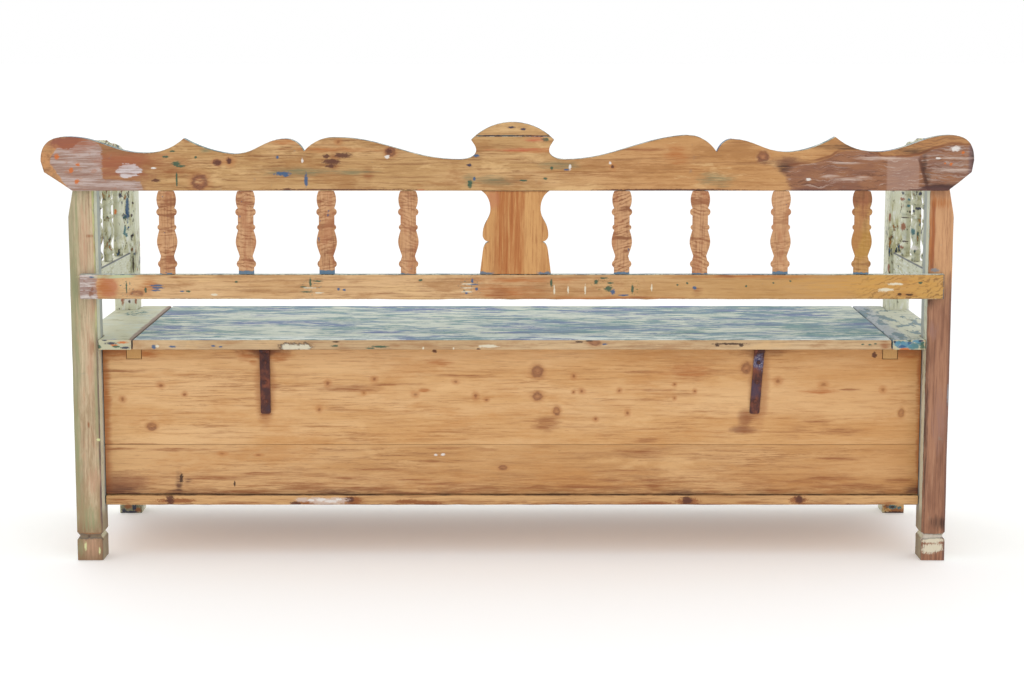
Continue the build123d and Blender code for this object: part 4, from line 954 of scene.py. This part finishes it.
def rail_ends(finish, colour):
    """Ochre toward one end, rough paint on the other lap, and rows of specks."""
    x, z = finish.x, finish.z
    wobble = finish.cloud((40, 40, 60), 5.1, 4, 0.66) - 0.5
    brush = finish.cloud((15, 30, 230), 5.9, 4, 0.7)
    colour = mottled(finish, colour, "X", 22.0)
    colour = colour.wash((182, 138, 82), (x + wobble * 0.1).step(0.15, -0.65) * 0.75)
    colour = colour.wash((160, 108, 70), (x + wobble * 0.8).band(-0.20, 0.10, 0.06) * 0.22)
    streaks = finish.cloud((8, 30, 150), 6.9, 4, 0.7)
    colour = colour.wash((136, 92, 56), streaks.step(0.56, 0.68) * 0.45)
    swirl = finish.cloud((22, 30, 34), 6.3, 4, 0.66) - 0.5
    feather = ((z + x * 0.42) * 620 + swirl * 34).sine().step(0.1, 0.9)
    far = (x + wobble * 0.06).step(-0.66, -0.74)
    colour = colour.wash((200, 156, 80), far * swirl.step(-0.2, 0.1) * 0.6)
    colour = colour.wash((116, 82, 50), far * feather * wobble.step(-0.12, 0.06) * 0.75)
    tip = (x + wobble * 0.003).step(-0.8755, -0.8775)
    colour = colour.wash((72, 84, 104), tip * 0.8)
    red = finish.spot(RAIL_FACE, 0.819, 0.576, 0.019, 0.024)
    colour = colour.wash((180, 108, 78), (red + wobble * 1.4).step(1.3, 0.6) * 0.75)
    rough = finish.two_tone((150, 128, 126), (206, 200, 198), brush.step(0.5, 0.6))
    rough = rough.wash((122, 74, 60), wobble.step(0.02, 0.12) * 0.85)
    colour = colour.under(rough, (x + wobble * 0.03).step(0.841, 0.846) * 0.85)
    green = finish.spot(RAIL_FACE, 0.813, 0.5965, 0.045, 0.005)
    green = (green + (brush - 0.5) * 2.6).step(1.2, 0.8)
    colour = colour.wash((178, 196, 158), green * 0.75)
    crumbs = finish.cloud((190, 30, 260), 7.9, 3, 0.6)
    near = finish.nearest(finish.spot(RAIL_FACE, *row) for row in SPECK_ROWS)
    dots = (near + wobble).step(1.2, 0.8) * crumbs.step(0.59, 0.62)
    specks = finish.two_tone((70, 104, 104), (118, 110, 66), x.step(0.0, -0.05))
    return colour.under(specks, dots * 0.75)


# %% Lay the lower rail
rail = worn("lower_back_rail", "X", 0.03, 0.0020, 0.0011, 2.0, 22)
dress(rail, stripped("rail_pine", "rail", "X", "Z", 2.6, "lower_back_rail", RAIL_FACE, "streaky",
                     rail_ends, arris=CREST_FRONT))
print(rail.name, len(rail.data.polygons), "faces")

# %% [markdown]
# ### The back boards
# Two wide boards close the box behind. Wide pine carries many small knots, and brown stains run
# between them along the grain. Rust has bled round the hinge straps and left a ghost below one.

# %% Grime and painted shade on the back boards
BOARD_FACE = 0.2165
BOARD_SHADES = ((0.54, 0.372, 0.09, 0.022), (0.44, 0.352, 0.05, 0.012), (0.62, 0.272, 0.05, 0.020),
                (-0.02, 0.285, 0.03, 0.014), (-0.38, 0.392, 0.06, 0.018), (-0.60, 0.262, 0.08, 0.014),
                (0.30, 0.252, 0.05, 0.012), (0.36, 0.310, 0.04, 0.012), (-0.30, 0.335, 0.05, 0.010))


def board_grime_and_shade(finish, colour):
    """Amber mottling, orange toward one end, a dirty foot, and painted shade in a lower corner and along
    the ends beside the posts.
    """
    x, z = finish.x, finish.z
    drift = finish.cloud((7, 20, 26), 17.3, 5, 0.68) - 0.5
    hair = finish.cloud((13, 20, 200), 18.1, 5, 0.74)
    mottle = finish.cloud((5, 20, 16), 19.1, 5, 0.7)
    colour = colour.wash((192, 134, 76), mottle.step(0.50, 0.68) * 0.45)
    colour = colour.wash((226, 184, 132), mottle.step(0.46, 0.32) * 0.5)
    colour = colour.wash((190, 132, 74), (x + drift * 0.8).step(-0.25, -0.85) * 0.36)
    low = (z + drift * 0.12).step(0.196, 0.128)
    colour = colour.wash((158, 102, 60), low * hair.step(0.42, 0.6) * 0.7)
    spots = (z + drift * 0.10).step(0.160, 0.126) * drift.step(0.0, 0.10)
    colour = colour.wash((104, 62, 46), spots * hair.step(0.38, 0.50) * 0.9)
    # Painted shade in the lower corner by the post and the ledge.
    corner = finish.spot(BOARD_FACE, 0.84, 0.148, 0.070, 0.030)
    colour = colour.wash((136, 86, 62), (corner + drift * 2.4).step(1.4, 0.3) * 0.7)
    # Painted shade along both ends of the board, beside the posts.
    side = (x + drift * 0.03).step(0.832, 0.849).at_least((x + drift * 0.03).step(-0.842, -0.849))
    return colour.wash((166, 96, 54), side * 0.7)


# %% Rust round the hinges, and painted shade under the lid
def hinge_rust_and_shade(finish, colour):
    """The upper board: grime and painted shade, then rust round the hinges and its ghost below one, and
    painted shade under the lid at the top corners.
    """
    x, z = finish.x, finish.z
    wobble = finish.cloud((40, 40, 60), 6.6, 4, 0.66) - 0.5
    hair = finish.cloud((14, 20, 220), 7.6, 4, 0.7)
    colour = board_grime_and_shade(finish, colour)
    for hinge_x, strong in ((0.513, 1.0), (-0.513, 0.55)):
        strap = finish.spot(BOARD_FACE, hinge_x, 0.362, 0.020, 0.078)
        colour = colour.wash((158, 96, 56), (strap + wobble * 0.6).step(1.35, 0.7) * 0.5)
        wing = finish.spot(BOARD_FACE, hinge_x, 0.441, 0.050, 0.017)
        colour = colour.wash((112, 62, 42), (wing + wobble * 1.5).step(1.5, 0.6) * (0.85 * strong))
    for corner_x in (0.82, -0.82):
        # Painted shade under the lid's overhang, at both top corners.
        shade_under_lid = finish.spot(BOARD_FACE, corner_x, 0.438, 0.062, 0.014)
        colour = colour.wash((126, 74, 50), (shade_under_lid + wobble * 1.8).step(1.4, 0.3) * 0.7)
    ghost = finish.spot(BOARD_FACE, -0.483, 0.292, 0.013, 0.020)
    colour = colour.wash((140, 88, 60), (ghost + wobble * 1.2).step(1.4, 0.5) * 0.6)
    foot = finish.spot(BOARD_FACE, -0.478, 0.268, 0.026, 0.008)
    colour = colour.wash((132, 84, 60), (foot + wobble * 1.6).step(1.4, 0.4) * 0.7)
    near = finish.nearest(finish.spot(BOARD_FACE, *cloudy) for cloudy in BOARD_SHADES)
    lines = hair.step(0.46, 0.62)
    return colour.wash((158, 106, 66), (near + wobble * 1.4).step(1.4, 0.4) * lines * 0.5)


# %% Lay the back boards
for board, palette, colours, seed in (("back_board_upper", "honey", hinge_rust_and_shade, 3.1),
                                      ("back_board_lower", "amber", board_grime_and_shade, 4.7)):
    piece = worn(board, "X", 0.06, 0.0005, 0.0004, seed, 9)
    dress(piece, stripped(board + "_pine", palette, "X", "Z", seed, board, BOARD_FACE, "none", colours,
                          lines=62, contrast=0.95))
    print(piece.name, len(piece.data.polygons), "faces")

# %% [markdown]
# ### The splat and the spindles
# The splat stands with its grain upright. The spindles were turned as whole columns and split down
# the middle, so from behind they are flat and carry the marks of the saw in slanting brown bands.

# %% Splat
SPLAT_FACE = 0.2835
RAIL_TOP = 0.601


def splat_colours(finish, colour):
    """Reddish heartwood in the middle, blue paint at both sides of the foot."""
    x, z = finish.x, finish.z
    ragged = finish.cloud((60, 20, 9), 6.7, 4, 0.66) - 0.5
    stripe = finish.cloud((150, 20, 7), 3.7, 4, 0.7)
    heart = (x + ragged * 0.03).band(-0.022, 0.030, 0.006)
    colour = colour.wash((166, 96, 48), heart * stripe.step(0.30, 0.56) * 0.8)
    colour = colour.wash((146, 84, 46), stripe.step(0.55, 0.66) * 0.5)
    pink = finish.spot(SPLAT_FACE, 0.040, 0.752, 0.014, 0.020)
    colour = colour.wash((184, 118, 86), (pink + ragged * 1.4).step(1.3, 0.5) * 0.6)
    side = (x + 0.007).size().step(0.040, 0.052)
    foot = (z + ragged * 0.014).step(0.606, 0.604)
    colour = colour.wash((70, 110, 136), foot * side * 0.8)
    shade = (z + ragged * 0.01).step(0.765, 0.770)
    return colour.wash((120, 76, 46), shade * 0.5)


splat = worn("back_splat", "Z", 0.02, 0.0016, 0.0009, 3.3, 26)
dress(splat, stripped("splat_pine", "splat", "Z", "X", 5.2, None, SPLAT_FACE, "streaky", splat_colours,
                      lines=120))
print(splat.name, len(splat.data.polygons), "faces")


# %% Saw marks on a spindle
def sawn(seed, tint, strength, foot_height, crown=False):
    """Bands left by a coarse saw, blue paint at the foot, and painted shade on the rounded sides."""
    def extra(finish, colour):
        z = finish.z
        slant = z + finish.x * (0.35 * math.sin(seed * 7))
        wave = finish.cloud((24, 24, 64), seed, 4, 0.66) * 22
        broken = finish.cloud((110, 60, 60), seed + 4, 4, 0.7) - 0.5
        swing = (slant * 760 + wave).sine() + broken * 3.2
        weight = finish.cloud((14, 14, 34), seed + 5, 3).step(0.40, 0.56) * 0.75 + 0.25
        colour = colour.wash(tint, swing.step(0.0, 1.4) * weight * (0.8 * strength))
        colour = colour.wash((216, 172, 132), swing.step(-0.3, -1.3) * weight * 0.45)
        bar = finish.cloud((9, 9, 60), seed + 9, 4, 0.7).step(0.54, 0.62)
        colour = colour.wash(tint, bar * (0.75 * strength))
        if crown:
            colour = colour.wash((118, 68, 50), (z + broken * 0.04).step(0.728, 0.748) * 0.7)
            belly = (z + broken * 0.02).band(0.634, 0.690, 0.01)
            colour = colour.wash((176, 132, 58), belly * 0.6)
        # Painted shade on the rounded sides, in front of the flat face.
        rim = (finish.y + broken * 0.002).step(SPLAT_FACE - 0.002, SPLAT_FACE - 0.004)
        colour = colour.wash((96, 92, 84), rim * 0.5)
        warm = finish.cloud((40, 40, 16), seed + 6, 3).step(0.48, 0.64)
        colour = colour.wash((166, 106, 72), warm * 0.45)
        ragged = finish.cloud((110, 110, 110), seed + 7, 3) - 0.5
        foot = (z + ragged * 0.010).step(RAIL_TOP + foot_height, RAIL_TOP + foot_height - 0.001)
        colour = colour.wash((62, 112, 140), foot * 0.85)
        speck = finish.cloud((80, 80, 60), seed + 8, 3, 0.65).step(0.69, 0.71)
        return colour.wash((66, 86, 116), speck * 0.7)
    return extra


# %% Spindles
# saw strength, height of the blue at the foot, palette and band colour, from -X to +X
SPINDLES = ((0.7, 0.004, "ochre", (122, 78, 46)), (0.5, 0.006, "spindle", (136, 84, 54)),
            (0.9, 0.003, "spindle", (136, 80, 50)), (1.1, 0.005, "spindle", (128, 78, 50)),
            (0.7, 0.002, "spindle", (134, 84, 58)), (0.9, 0.009, "spindle", (134, 80, 52)),
            (1.0, 0.008, "spindle", (138, 84, 56)), (1.0, 0.002, "spindle", (132, 80, 52)))
for number, (strength, foot_height, palette, tint) in enumerate(SPINDLES, 1):
    piece = worn("back_spindle_%d" % number, "Z", 0.006, 0.0, 0.0005, number * 1.9, 30)
    dress(piece, stripped("spindle_pine_%d" % number, palette, "Z", "X", number * 2.3, None, SPLAT_FACE,
                          "chippy", sawn(number * 2.3, tint, strength, foot_height, number == 1),
                          lines=70, contrast=1.1))
print(len(SPINDLES), "spindles")

# %% [markdown]
# ### The rear posts
# The post grain runs upright. One post is grey and green with paint stain, the other is salmon at
# the top and mauve below where it stood in the damp. Their inner sides keep their paint.

# %% Painted inner side of a post
POST_FACE = 0.2615
POST_INNER, POST_WIDTH, POST_SPREAD = 0.849, 0.051, 0.0042


def inner_side(finish, paint):
    """Cream near the wall, bluish grey toward the room, tan at the foot; the foot's groove pale on one
    post and dark with painted shadow on the other.
    """
    y, z = finish.y, finish.z
    inner = finish.x.size().step(0.853, 0.850)
    paint = paint.wash((204, 204, 182), inner * 0.5)
    paint = paint.wash((150, 156, 158), inner * y.step(0.231, 0.225) * 0.7)
    paint = paint.wash((146, 128, 100), inner * z.step(0.125, 0.085) * 0.8)
    # The groove is pale paint on the post at -X and painted shadow on the post at +X.
    groove = z.band(0.042, 0.060, 0.002) * y.step(0.248, 0.252)
    groove_paint_and_shadow = finish.two_tone((196, 184, 172), (112, 84, 60), finish.x.step(-0.01, 0.01))
    return paint.under(groove_paint_and_shadow, groove * 0.85)


# %% The grey post
def grey_post(finish, colour):
    """Grey tan with mottling, darker at the foot, with a line along the inner arris."""
    x, z = finish.x, finish.z
    wobble = finish.cloud((34, 34, 7), 7.7, 4, 0.66) - 0.5
    mottle = finish.cloud((50, 50, 12), 8.9, 4, 0.68)
    colour = colour.wash((168, 162, 128), mottle.step(0.50, 0.64) * 0.4)
    colour = colour.wash((192, 150, 118), mottle.step(0.46, 0.34) * 0.5)
    grain = finish.cloud((210, 60, 8), 9.7, 5, 0.75)
    colour = colour.wash((142, 114, 84), grain.step(0.50, 0.62) * 0.6)
    colour = colour.wash((216, 200, 166), grain.step(0.44, 0.34) * 0.5)
    edge = (x + wobble * 0.04).step(0.884, 0.900)
    colour = colour.wash((148, 146, 118), edge * 0.6)
    lower = (z + wobble * 0.3).step(0.44, 0.30)
    colour = colour.wash((158, 128, 94), lower * mottle.step(0.40, 0.60) * 0.6)
    inner = (x + wobble * 0.006).step(0.8545, 0.8525)
    line = finish.two_tone((92, 66, 74), (188, 196, 138), z.step(0.46, 0.50))
    colour = colour.under(line, inner * 0.75)
    foot = (z + wobble * 0.04).step(0.10, 0.06)
    return colour.wash((138, 108, 80), foot * 0.85)


# %% The mauve post
def mauve_post(finish, colour):
    """Salmon above, mauve with dark grain below."""
    x, z = finish.x, finish.z
    wobble = finish.cloud((34, 34, 6), 7.1, 4, 0.66) - 0.5
    grain = finish.cloud((230, 60, 7), 7.9, 4, 0.7)
    below = (z + wobble * 0.2).step(0.60, 0.53)
    mauve = finish.two_tone((164, 118, 92), (134, 92, 72), wobble.step(-0.10, 0.14))
    mauve = mauve.wash((112, 74, 60), grain.step(0.48, 0.64) * 0.8)
    mauve = mauve.wash((186, 146, 120), grain.step(0.42, 0.32) * 0.5)
    colour = colour.under(mauve, below * 0.92)
    streak = (x + wobble * 0.012).band(-0.861, -0.854, 0.002)
    tall = z.band(0.605, 0.75, 0.01)
    colour = colour.wash((128, 66, 44), streak * tall * grain.step(0.3, 0.5) * 0.85)
    shade = (z + wobble * 0.02).step(0.748, 0.762)
    colour = colour.wash((158, 104, 76), shade * 0.4)
    edge = (x + wobble * 0.01).step(-0.892, -0.897) * below
    return colour.wash((96, 70, 66), edge * 0.6)


# %% Stand the rear posts
for node, palette, colours, seed in (("rear_post_right", "greytan", grey_post, 6.1),
                                     ("rear_post_left", "salmon", mauve_post, 7.3)):
    piece = worn(node, "Z", 0.03, 0.0030, 0.0012, seed, 20)
    if node == "rear_post_right":
        for v in piece.data.vertices:
            v.co.x += POST_SPREAD * (v.co.x - POST_INNER) / POST_WIDTH
    dress(piece, stripped(node + "_wood", palette, "Z", "X", seed, node, POST_FACE, "chippy", colours,
                          lines=150, contrast=1.3, side=inner_side))
    print(piece.name, len(piece.data.polygons), "faces")

# %% [markdown]
# ## The seat
# The seat is where people sat, so its paint is worn most. Cream and slate blue lie in streaks
# along the boards. The edge toward the wall was stripped with the back and is bare, with a thin
# indigo line along its upper arris.


# %% Seat finish
SEAT_EDGE = 0.26


def seat_finish(name, seed, worn_to, board=None, bare_edge=True, tint=None):
    """Paint above and in front, bare pine below and on the edge toward the wall."""
    finish = Finish(name, roughness=0.62)
    paint, relief, blue = streaky_paint(finish, "X", seed, worn_to)
    if tint:
        paint = tint(finish, paint, blue)
    wood, height = pine(finish, PALETTES["edge" if bare_edge else "inner"], "X", "Z", seed + 9,
                        knots_of(board), SEAT_EDGE, 160)
    wood = mottled(finish, wood, "X", seed + 23, 0.9)
    wood = marks(finish, wood, stains_of(board), SEAT_EDGE)
    bare_wood = finish.facing("Z").step(-0.3, -0.7)
    if bare_edge:
        ragged = finish.cloud((50, 50, 50), seed, 3) * 0.6 - 0.3
        behind = (finish.facing("Y") + ragged).step(0.5, 0.7)
        bare_wood = bare_wood + behind
    colour = paint.under(wood, bare_wood)
    if bare_edge:
        colour = colour.wash((84, 92, 104), behind * (1 - behind) * 2.6)
    return finish, colour, relief * (1 - bare_wood) + height * bare_wood * 0.5


# %% Lid boards
def rear_strip(finish, paint, blue):
    """Whiter toward the wall, with dark blue lines."""
    y = finish.y
    hair = finish.cloud((7, 120, 60), 31.0, 4, 0.66)
    paint = paint.wash((218, 226, 222), y.step(0.20, 0.235) * (1 - blue) * 0.6)
    return paint.wash((62, 88, 118), hair.step(0.58, 0.64) * y.step(0.19, 0.23) * 0.7)


LID_WORN = {"lid_board_rear": 0.575, "lid_board_middle": 0.55, "lid_board_front": 0.56}
for number, (node, worn_to) in enumerate(LID_WORN.items()):
    rear = node == "lid_board_rear"
    finish, colour, height = seat_finish(node + "_paint", 2.2 + number * 3.7, worn_to,
                                         node if rear else None, rear, rear_strip if rear else None)
    piece = worn(node, "X", 0.04, 0.0022, 0.0009, 8 + number, 12)
    dress(piece, finish.bare(colour, height, 0.0008))
    print(piece.name, len(piece.data.polygons), "faces")


# %% Two old side boards, aged apart
def green_side(finish, paint, blue):
    """Yellowed cream, with a brown edge by the lid."""
    x, y = finish.x, finish.y
    broad = finish.cloud((16, 16, 16), 21.3, 4, 0.66)
    colour = paint.wash((200, 198, 168), broad.step(0.36, 0.55) * 0.8)
    colour = colour.wash((160, 156, 122), broad.step(0.55, 0.68) * 0.6)
    seam = (x + (broad - 0.5) * 0.016).step(0.792, 0.786)
    colour = colour.wash((138, 112, 100), seam * 0.85)
    teal = finish.near((0.84, -0.14, 0.47), (0.03, 0.05, 0.05))
    chip = finish.cloud((130, 60, 60), 22.7, 3, 0.6)
    return colour.wash((74, 116, 112), teal.step(1.0, 0.6) * chip.step(0.52, 0.56) * 0.8)


def blue_side(finish, paint, blue):
    """Cream with blue-grey blotches, lilac toward the lid."""
    x = finish.x
    broad = finish.cloud((34, 14, 14), 25.3, 3, 0.6)
    fine = finish.cloud((90, 30, 30), 26.3, 4, 0.66)
    colour = paint.wash((206, 204, 182), 0.6)
    colour = colour.wash((142, 152, 176), (x + (fine - 0.5) * 0.06).step(-0.826, -0.800) * 0.6)
    blotch = (broad * 0.7 + fine * 0.3).step(0.53, 0.55)
    colour = colour.wash((100, 128, 140), blotch * 0.85)
    return colour.wash((132, 128, 100), fine.step(0.58, 0.64) * 0.6)


# %% Lay the seat side boards
for node, seed, tint in (("seat_side_board_right", 5.5, green_side),
                         ("seat_side_board_left", 9.1, blue_side)):
    finish, colour, height = seat_finish(node + "_paint", seed, 0.62, node, True, tint)
    piece = worn(node, "X", 0.03, 0.0022, 0.0009, seed, 14)
    dress(piece, finish.bare(colour, height, 0.0008))
print("seat side boards")

# %% [markdown]
# ## Arms, front posts and end boards
# The arms were never stripped. Their paint is thick, cream gone green, crazed, and chipped to
# every layer below it.

# %% Arms
CHIPPED = [node for node in nodes if node.startswith("arm_")]
BUMP_FOOT, BUMP_RISE = 0.785, 0.035
LEFT_LIFT, LEFT_FROM = 4, 0.83  # mm by which the left crest's hump is higher, and from what height
BUMP = ((-0.17, 0), (-0.12, 9), (-0.073, 19), (-0.038, 21), (0.007, 18), (0.052, 8), (0.10, 1),
        (0.16, 0))
for number, node in enumerate(CHIPPED):
    finish = Finish(node + "_paint", roughness=0.6)
    grain = "Z" if "spindle" in node else "Y"
    rail = "lower_rail" in node
    colour, height = chippy_paint(finish, grain, number * 2.9 + 1, 0.53 if rail else 0.47)
    if rail:
        # Painted shadow: a dark line along the lower rail's inner top edge.
        arris = finish.z.step(0.5970, 0.5985) * finish.x.size().step(0.8640, 0.8625)
        colour = colour.wash((82, 86, 98), arris * 0.85)
    if "spindle" in node:
        # Painted shade on the outer side of each arm spindle.
        painted_shade_flank = (finish.x.size() + height * 0.006).step(0.872, 0.880)
        colour = colour.wash((150, 146, 104), painted_shade_flank * 0.55)
    if node in MARKS:
        middle = sum(corner[1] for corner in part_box(node)) / 2
        colour = marks(finish, colour, stains_of(node), middle + 0.012, grain, SPOT_DEPTH)
    if "spindle" in node:
        piece = worn(node, "Z", 0.008, 0.0, 0.0005, number, 30)
    else:
        piece = worn(node, "Y", 0.03, 0.0022, 0.0010, number, 22)
    if "crest" in node:
        for v in piece.data.vertices:
            rise = between(BUMP, v.co.y, 1) * share(v.co.z, BUMP_FOOT, BUMP_RISE)
            v.co.z += (rise + (LEFT_LIFT if "left" in node and v.co.z > LEFT_FROM else 0)) * MM
    dress(piece, finish.bare(colour, height, 0.0012))
print(CHIPPED)

# %% Front posts and end boards
FRONT_POST_REAR = -0.1965


def painted_board(node, grain, seed, chips, wear_seed, bumps):
    """A board with the thick old paint all round."""
    finish = Finish(node + "_paint", roughness=0.6)
    colour, height = chippy_paint(finish, grain, seed, chips)
    piece = worn(node, grain, 0.05, 0.0016, 0.0008, wear_seed, bumps)
    dress(piece, finish.bare(colour, height, 0.0010))


for number, node in enumerate(("front_post_left", "front_post_right")):
    finish = Finish(node + "_paint", roughness=0.6)
    colour, height = chippy_paint(finish, "Z", number * 5.3 + 30, 0.48)
    colour = marks(finish, colour, stains_of(node), FRONT_POST_REAR, "Z")
    piece = worn(node, "Z", 0.03, 0.0030, 0.0011, number + 20, 20)
    dress(piece, finish.bare(colour, height, 0.0012))
for number, node in enumerate(n for n in nodes if n.startswith("end_board")):
    painted_board(node, "Y", number * 4.1 + 50, 0.50, number + 30, 12)
print("front posts and end boards")

# %% [markdown]
# ## The drawer
# The drawer front is the face that visitors saw: planks in a planted frame, painted like the rest.
# Inside, the drawer was never painted and has darkened. The box's own floor, the bearers and the
# lid's battens are as bare, so they share one loop with the drawer's inner boards.

# %% Drawer front
DRAWER = [node for node in nodes if node.startswith("drawer_") and body_of_node[node] == "drawer"]
INNER = [node for node in DRAWER if any(word in node for word in ("side", "back", "slat", "stop"))]
for number, node in enumerate(node for node in DRAWER if node not in INNER):
    low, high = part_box(node)
    grain = "X" if high[0] - low[0] > high[2] - low[2] else "Z"
    painted_board(node, grain, number * 3.3 + 70, 0.51, number + 40, 14)
print(DRAWER, INNER)

# %% Ledge and bearer ends
LEDGE_FACE = 0.2285
BEARER_X, BEARER_HALF_WIDE = 0.784, 0.016
BEARER_Z, BEARER_HALF_TALL = 0.4295, 0.0125


def ledge_finish(finish):
    """The floor board's proud edge: chipped below, with a painted shadow line along its top."""
    z = finish.z
    colour, height = pine(finish, PALETTES["ledge"], "X", "Z", 41.0, (), LEDGE_FACE, 120, 1.2)
    colour = marks(finish, colour, stains_of("floor_board_rear"), LEDGE_FACE)
    ragged = finish.cloud((34, 34, 60), 42.0, 4, 0.66) - 0.5
    hair = finish.cloud((18, 30, 200), 43.0, 4, 0.7)
    outside = finish.y.step(0.2140, 0.2165)
    low = (z + ragged * 0.012).step(0.1145, 0.112) * outside
    colour = colour.wash((124, 78, 52), low * hair.step(0.42, 0.55) * 0.8)
    # Painted shadow: a dark line on the ledge's top face, where the back board meets it.
    painted_shadow_line = (z + ragged * 0.002).step(0.1303, 0.1312) * outside
    return colour.wash((66, 48, 42), painted_shadow_line * 0.85), height


def bearer_finish(finish, colour):
    """End grain, pale inside a dark joint."""
    rim = ((finish.x.size() - BEARER_X).size() * (1 / BEARER_HALF_WIDE)).at_least(
        (finish.z - BEARER_Z).size() * (1 / BEARER_HALF_TALL))
    end = finish.two_tone((208, 164, 106), (92, 62, 46), rim.step(0.88, 0.96) * 0.8)
    return colour.under(end, finish.y.step(0.200, 0.205) * 0.85)


# %% Bare inner boards
UNPAINTED = ("floor_board", "front_sill", "lid_batten", "seat_bearer", "folding_leg")
rest = [node for node in nodes if node in INNER or node.startswith(UNPAINTED)]
for number, node in enumerate(rest):
    low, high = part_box(node)
    size = [b - a for a, b in zip(low, high)]
    grain = "XYZ"[size.index(max(size))]
    across = "XYZ"[sorted(range(3), key=size.__getitem__)[1]]
    finish = Finish(node + "_wood", roughness=0.85)
    if node == "floor_board_rear":
        colour, height = ledge_finish(finish)
        piece = worn(node, "X", 0.025, 0.0026, 0.0016, 3.9, 30)
    else:
        colour, height = pine(finish, PALETTES["inner"], grain, across, number * 1.7 + 3, (), 0.0, 90)
        if node.startswith("seat_bearer"):
            colour = bearer_finish(finish, colour)
        if "slat" in node or "batten" in node:
            piece = nodes[node]
        else:
            piece = worn(node, grain, 0.06, 0.0014, 0.0007, number + 60, 12)
    dress(piece, finish.bare(colour, height, 0.0008))
print(len(rest), "bare inner boards:", rest)

# %% [markdown]
# ## Ironwork
# The strap hinges are forged iron, rusted purple brown, with a bluish scale where they were once
# painted.

# %% Hinges and bolts
STRAP_STRETCH = 1.045
for number, node in enumerate(node for node in nodes
                              if node.startswith("hinge_") or node == "leg_bolts"):
    finish = Finish(node + "_iron", roughness=0.7, shine=0.4)
    broad = finish.cloud((60, 60, 40), number * 3.3, 4, 0.65)
    fine = finish.cloud((420, 420, 420), number * 1.3, 3, 0.7)
    colour = finish.two_tone((74, 42, 38), (120, 66, 46), broad.step(0.42, 0.66))
    colour = colour.wash((62, 48, 60), broad.step(0.42, 0.32) * 0.6)
    colour = colour.wash((160, 142, 132), fine.step(0.72, 0.78) * 0.5)
    piece = nodes[node]
    if "strap" in node:
        piece = worn(node, "Z", 0.012, 0.0, 0.0004, number * 2.1, 60)
        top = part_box(node)[1][2]
        for v in piece.data.vertices:
            v.co.z = top - (top - v.co.z) * STRAP_STRETCH
        if "left" in node:
            scale = finish.near((-0.508, 0.2175, 0.408), (0.016, 0.05, 0.018))
            scale = (scale + (broad - 0.5) * 2.4).step(1.2, 0.5)
            colour = colour.wash((82, 78, 112), scale * 0.85)
            colour = colour.wash((206, 200, 200), scale * fine.step(0.56, 0.6) * 0.9)
            low = finish.near((-0.503, 0.2175, 0.352), (0.016, 0.05, 0.020))
            colour = colour.wash((70, 56, 76), (low + (broad - 0.5) * 2).step(1.2, 0.5) * 0.7)
    dress(piece, finish.bare(colour, fine * 0.6 + broad * 0.4, 0.0008))
print("ironwork")

# %% [markdown]
# ## Finish
# The boxes before and after are kept side by side.

# %% Pieces without a finish
undressed = [node for node in nodes if not any(o.name.startswith(node) for o in bpy.data.objects
                                               if o.data and getattr(o.data, "materials", None))]
print("without a finish:", undressed)
